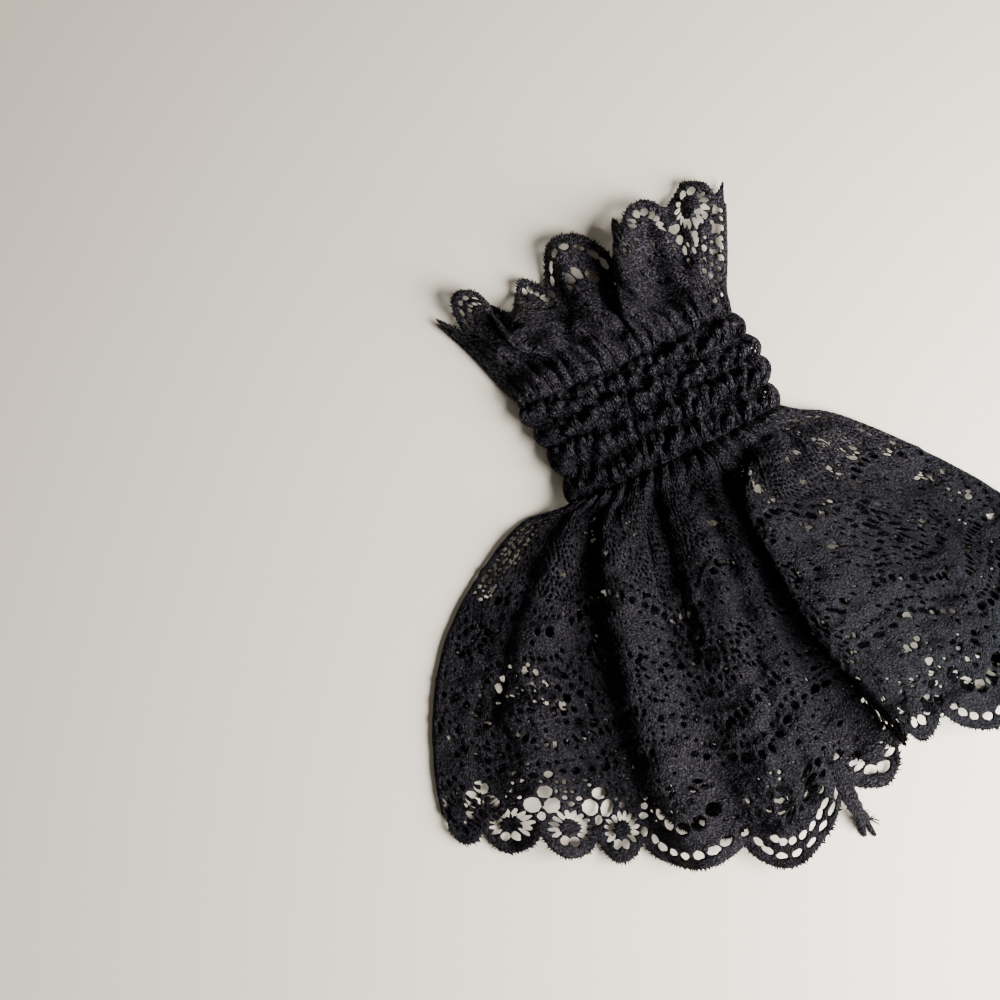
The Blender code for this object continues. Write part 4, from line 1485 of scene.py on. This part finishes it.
def thread_finish():
    """Black covered elastic: a little smoother than the lace."""
    finish = Finish("black_thread")
    cover = noise(finish, piece_place(finish), 2600.0, 1.0)
    finish.set(
        Base_Color=(0.014, 0.013, 0.018, 1.0),
        Roughness=0.5,
        Metallic=0.0,
        Normal=bump(finish, cover, 0.6, 0.0002),
    )
    return finish.material


def floor_finish():
    """A pale warm board with a hardly visible grain."""
    finish = Finish("pale_table")
    grain = noise(finish, piece_place(finish), 9.0, 3.0)
    colour = mix(finish, grain, (0.86, 0.78, 0.64, 1.0), (0.88, 0.80, 0.67, 1.0))
    finish.set(Base_Color=colour, Roughness=0.55, Metallic=0.0)
    return finish.material


def build_layer(name, node, length, cells, pieces, place_points, seed, material, seen=None):
    """One layer of the cuff as a few closed pieces of lace, side by side, and its rough edge.
    Without seen it is the front layer, and what is seen through it is a result."""
    canvas = draw_lace(length, cells, seed)
    points, shown, across = place_points(canvas.u, canvas.v)
    if seen is None:
        seen = open_front(canvas, points, across)
    else:
        open_back(canvas, points, seen)
    normals = grid_normals(points)
    spikes = dress(picots(f"{name}_picots", canvas, points, normals, seed), node, material)
    cuts = np.linspace(0, len(canvas.u) - 1, pieces + 1).astype(int)
    for k in range(pieces):
        label = f"{name}_{k + 1}"
        item, area = lace_mesh(label, canvas, points, normals, shown, cuts[k], cuts[k + 1])
        dress(item, node, material)
        area * MM * MM
    return canvas, points, seen


def set_light(name, place, target, size, power, colour):
    """A large soft lamp aimed at a point."""
    lamp = bpy.data.lights.new(name, "AREA")
    lamp.shape = "RECTANGLE"
    lamp.size = size[0]
    lamp.size_y = size[1]
    lamp.energy = power
    lamp.color = colour
    item = new_item(name, lamp)
    item.location = place
    aim = Vector(target) - Vector(place)
    item.rotation_euler = aim.to_track_quat("-Z", "Y").to_euler()


def set_camera():
    """The photograph's view: from almost straight above, the cuff right of the middle."""
    camera = bpy.data.cameras.new("camera")
    camera.lens = 45.0
    camera.sensor_width = 36.0
    item = new_item("camera", camera)
    item.location = EYE * MM
    item.rotation_euler = (0.5 * math.pi - CAMERA_TILT, 0.0, 0.0)
    bpy.context.scene.camera = item


def set_stage(material):
    """The pale table the cuff lies on."""
    half = 3.0
    corners = [(-half, -half, 0.0), (half, -half, 0.0), (half, half, 0.0), (-half, half, 0.0)]
    table = new_piece("table", np.array(corners), np.array([(0, 1, 2, 3)]))
    table.data.materials.append(material)


def set_world():
    """Soft pale light from all round."""
    world = bpy.data.worlds.new("room")
    world.use_nodes = True
    sky = world.node_tree.nodes["Background"].inputs
    sky["Color"].default_value = (1.0, 0.95, 0.885, 1.0)
    sky["Strength"].default_value = 0.13
    bpy.context.scene.world = world


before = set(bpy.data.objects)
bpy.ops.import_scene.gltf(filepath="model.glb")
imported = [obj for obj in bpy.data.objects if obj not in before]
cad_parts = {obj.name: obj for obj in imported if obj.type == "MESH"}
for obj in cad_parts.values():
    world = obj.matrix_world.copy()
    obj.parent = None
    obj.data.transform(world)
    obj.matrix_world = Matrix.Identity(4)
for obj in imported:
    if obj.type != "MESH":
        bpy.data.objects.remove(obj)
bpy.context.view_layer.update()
set_camera()
set_world()
set_stage(floor_finish())
set_light(
    "window",
    place=(0.37, -0.17, 0.25),
    target=(0.06, -0.06, 0.0),
    size=(0.42, 0.42),
    power=16.6,
    colour=(1.0, 0.99, 0.98),
)
lace = lace_finish()
front, front_places, seen_through = build_layer(
    "front_lace", "lace_front", FRONT_LENGTH, FRONT_CELLS, FRONT_PIECES, front_points, 3, lace
)
build_layer(
    "back_lace", "lace_back", BACK_LENGTH, BACK_CELLS, BACK_PIECES, back_points, 4, lace, seen_through
)
thread = thread_finish()
for row in range(ELASTIC_ROWS):
    strand = elastic_thread(f"elastic_thread_{row + 1}", row, front, front_places)
    dress(strand, f"elastic_row_{row + 1}", thread)
dress(seam_tail(), "seam_tail", lace)
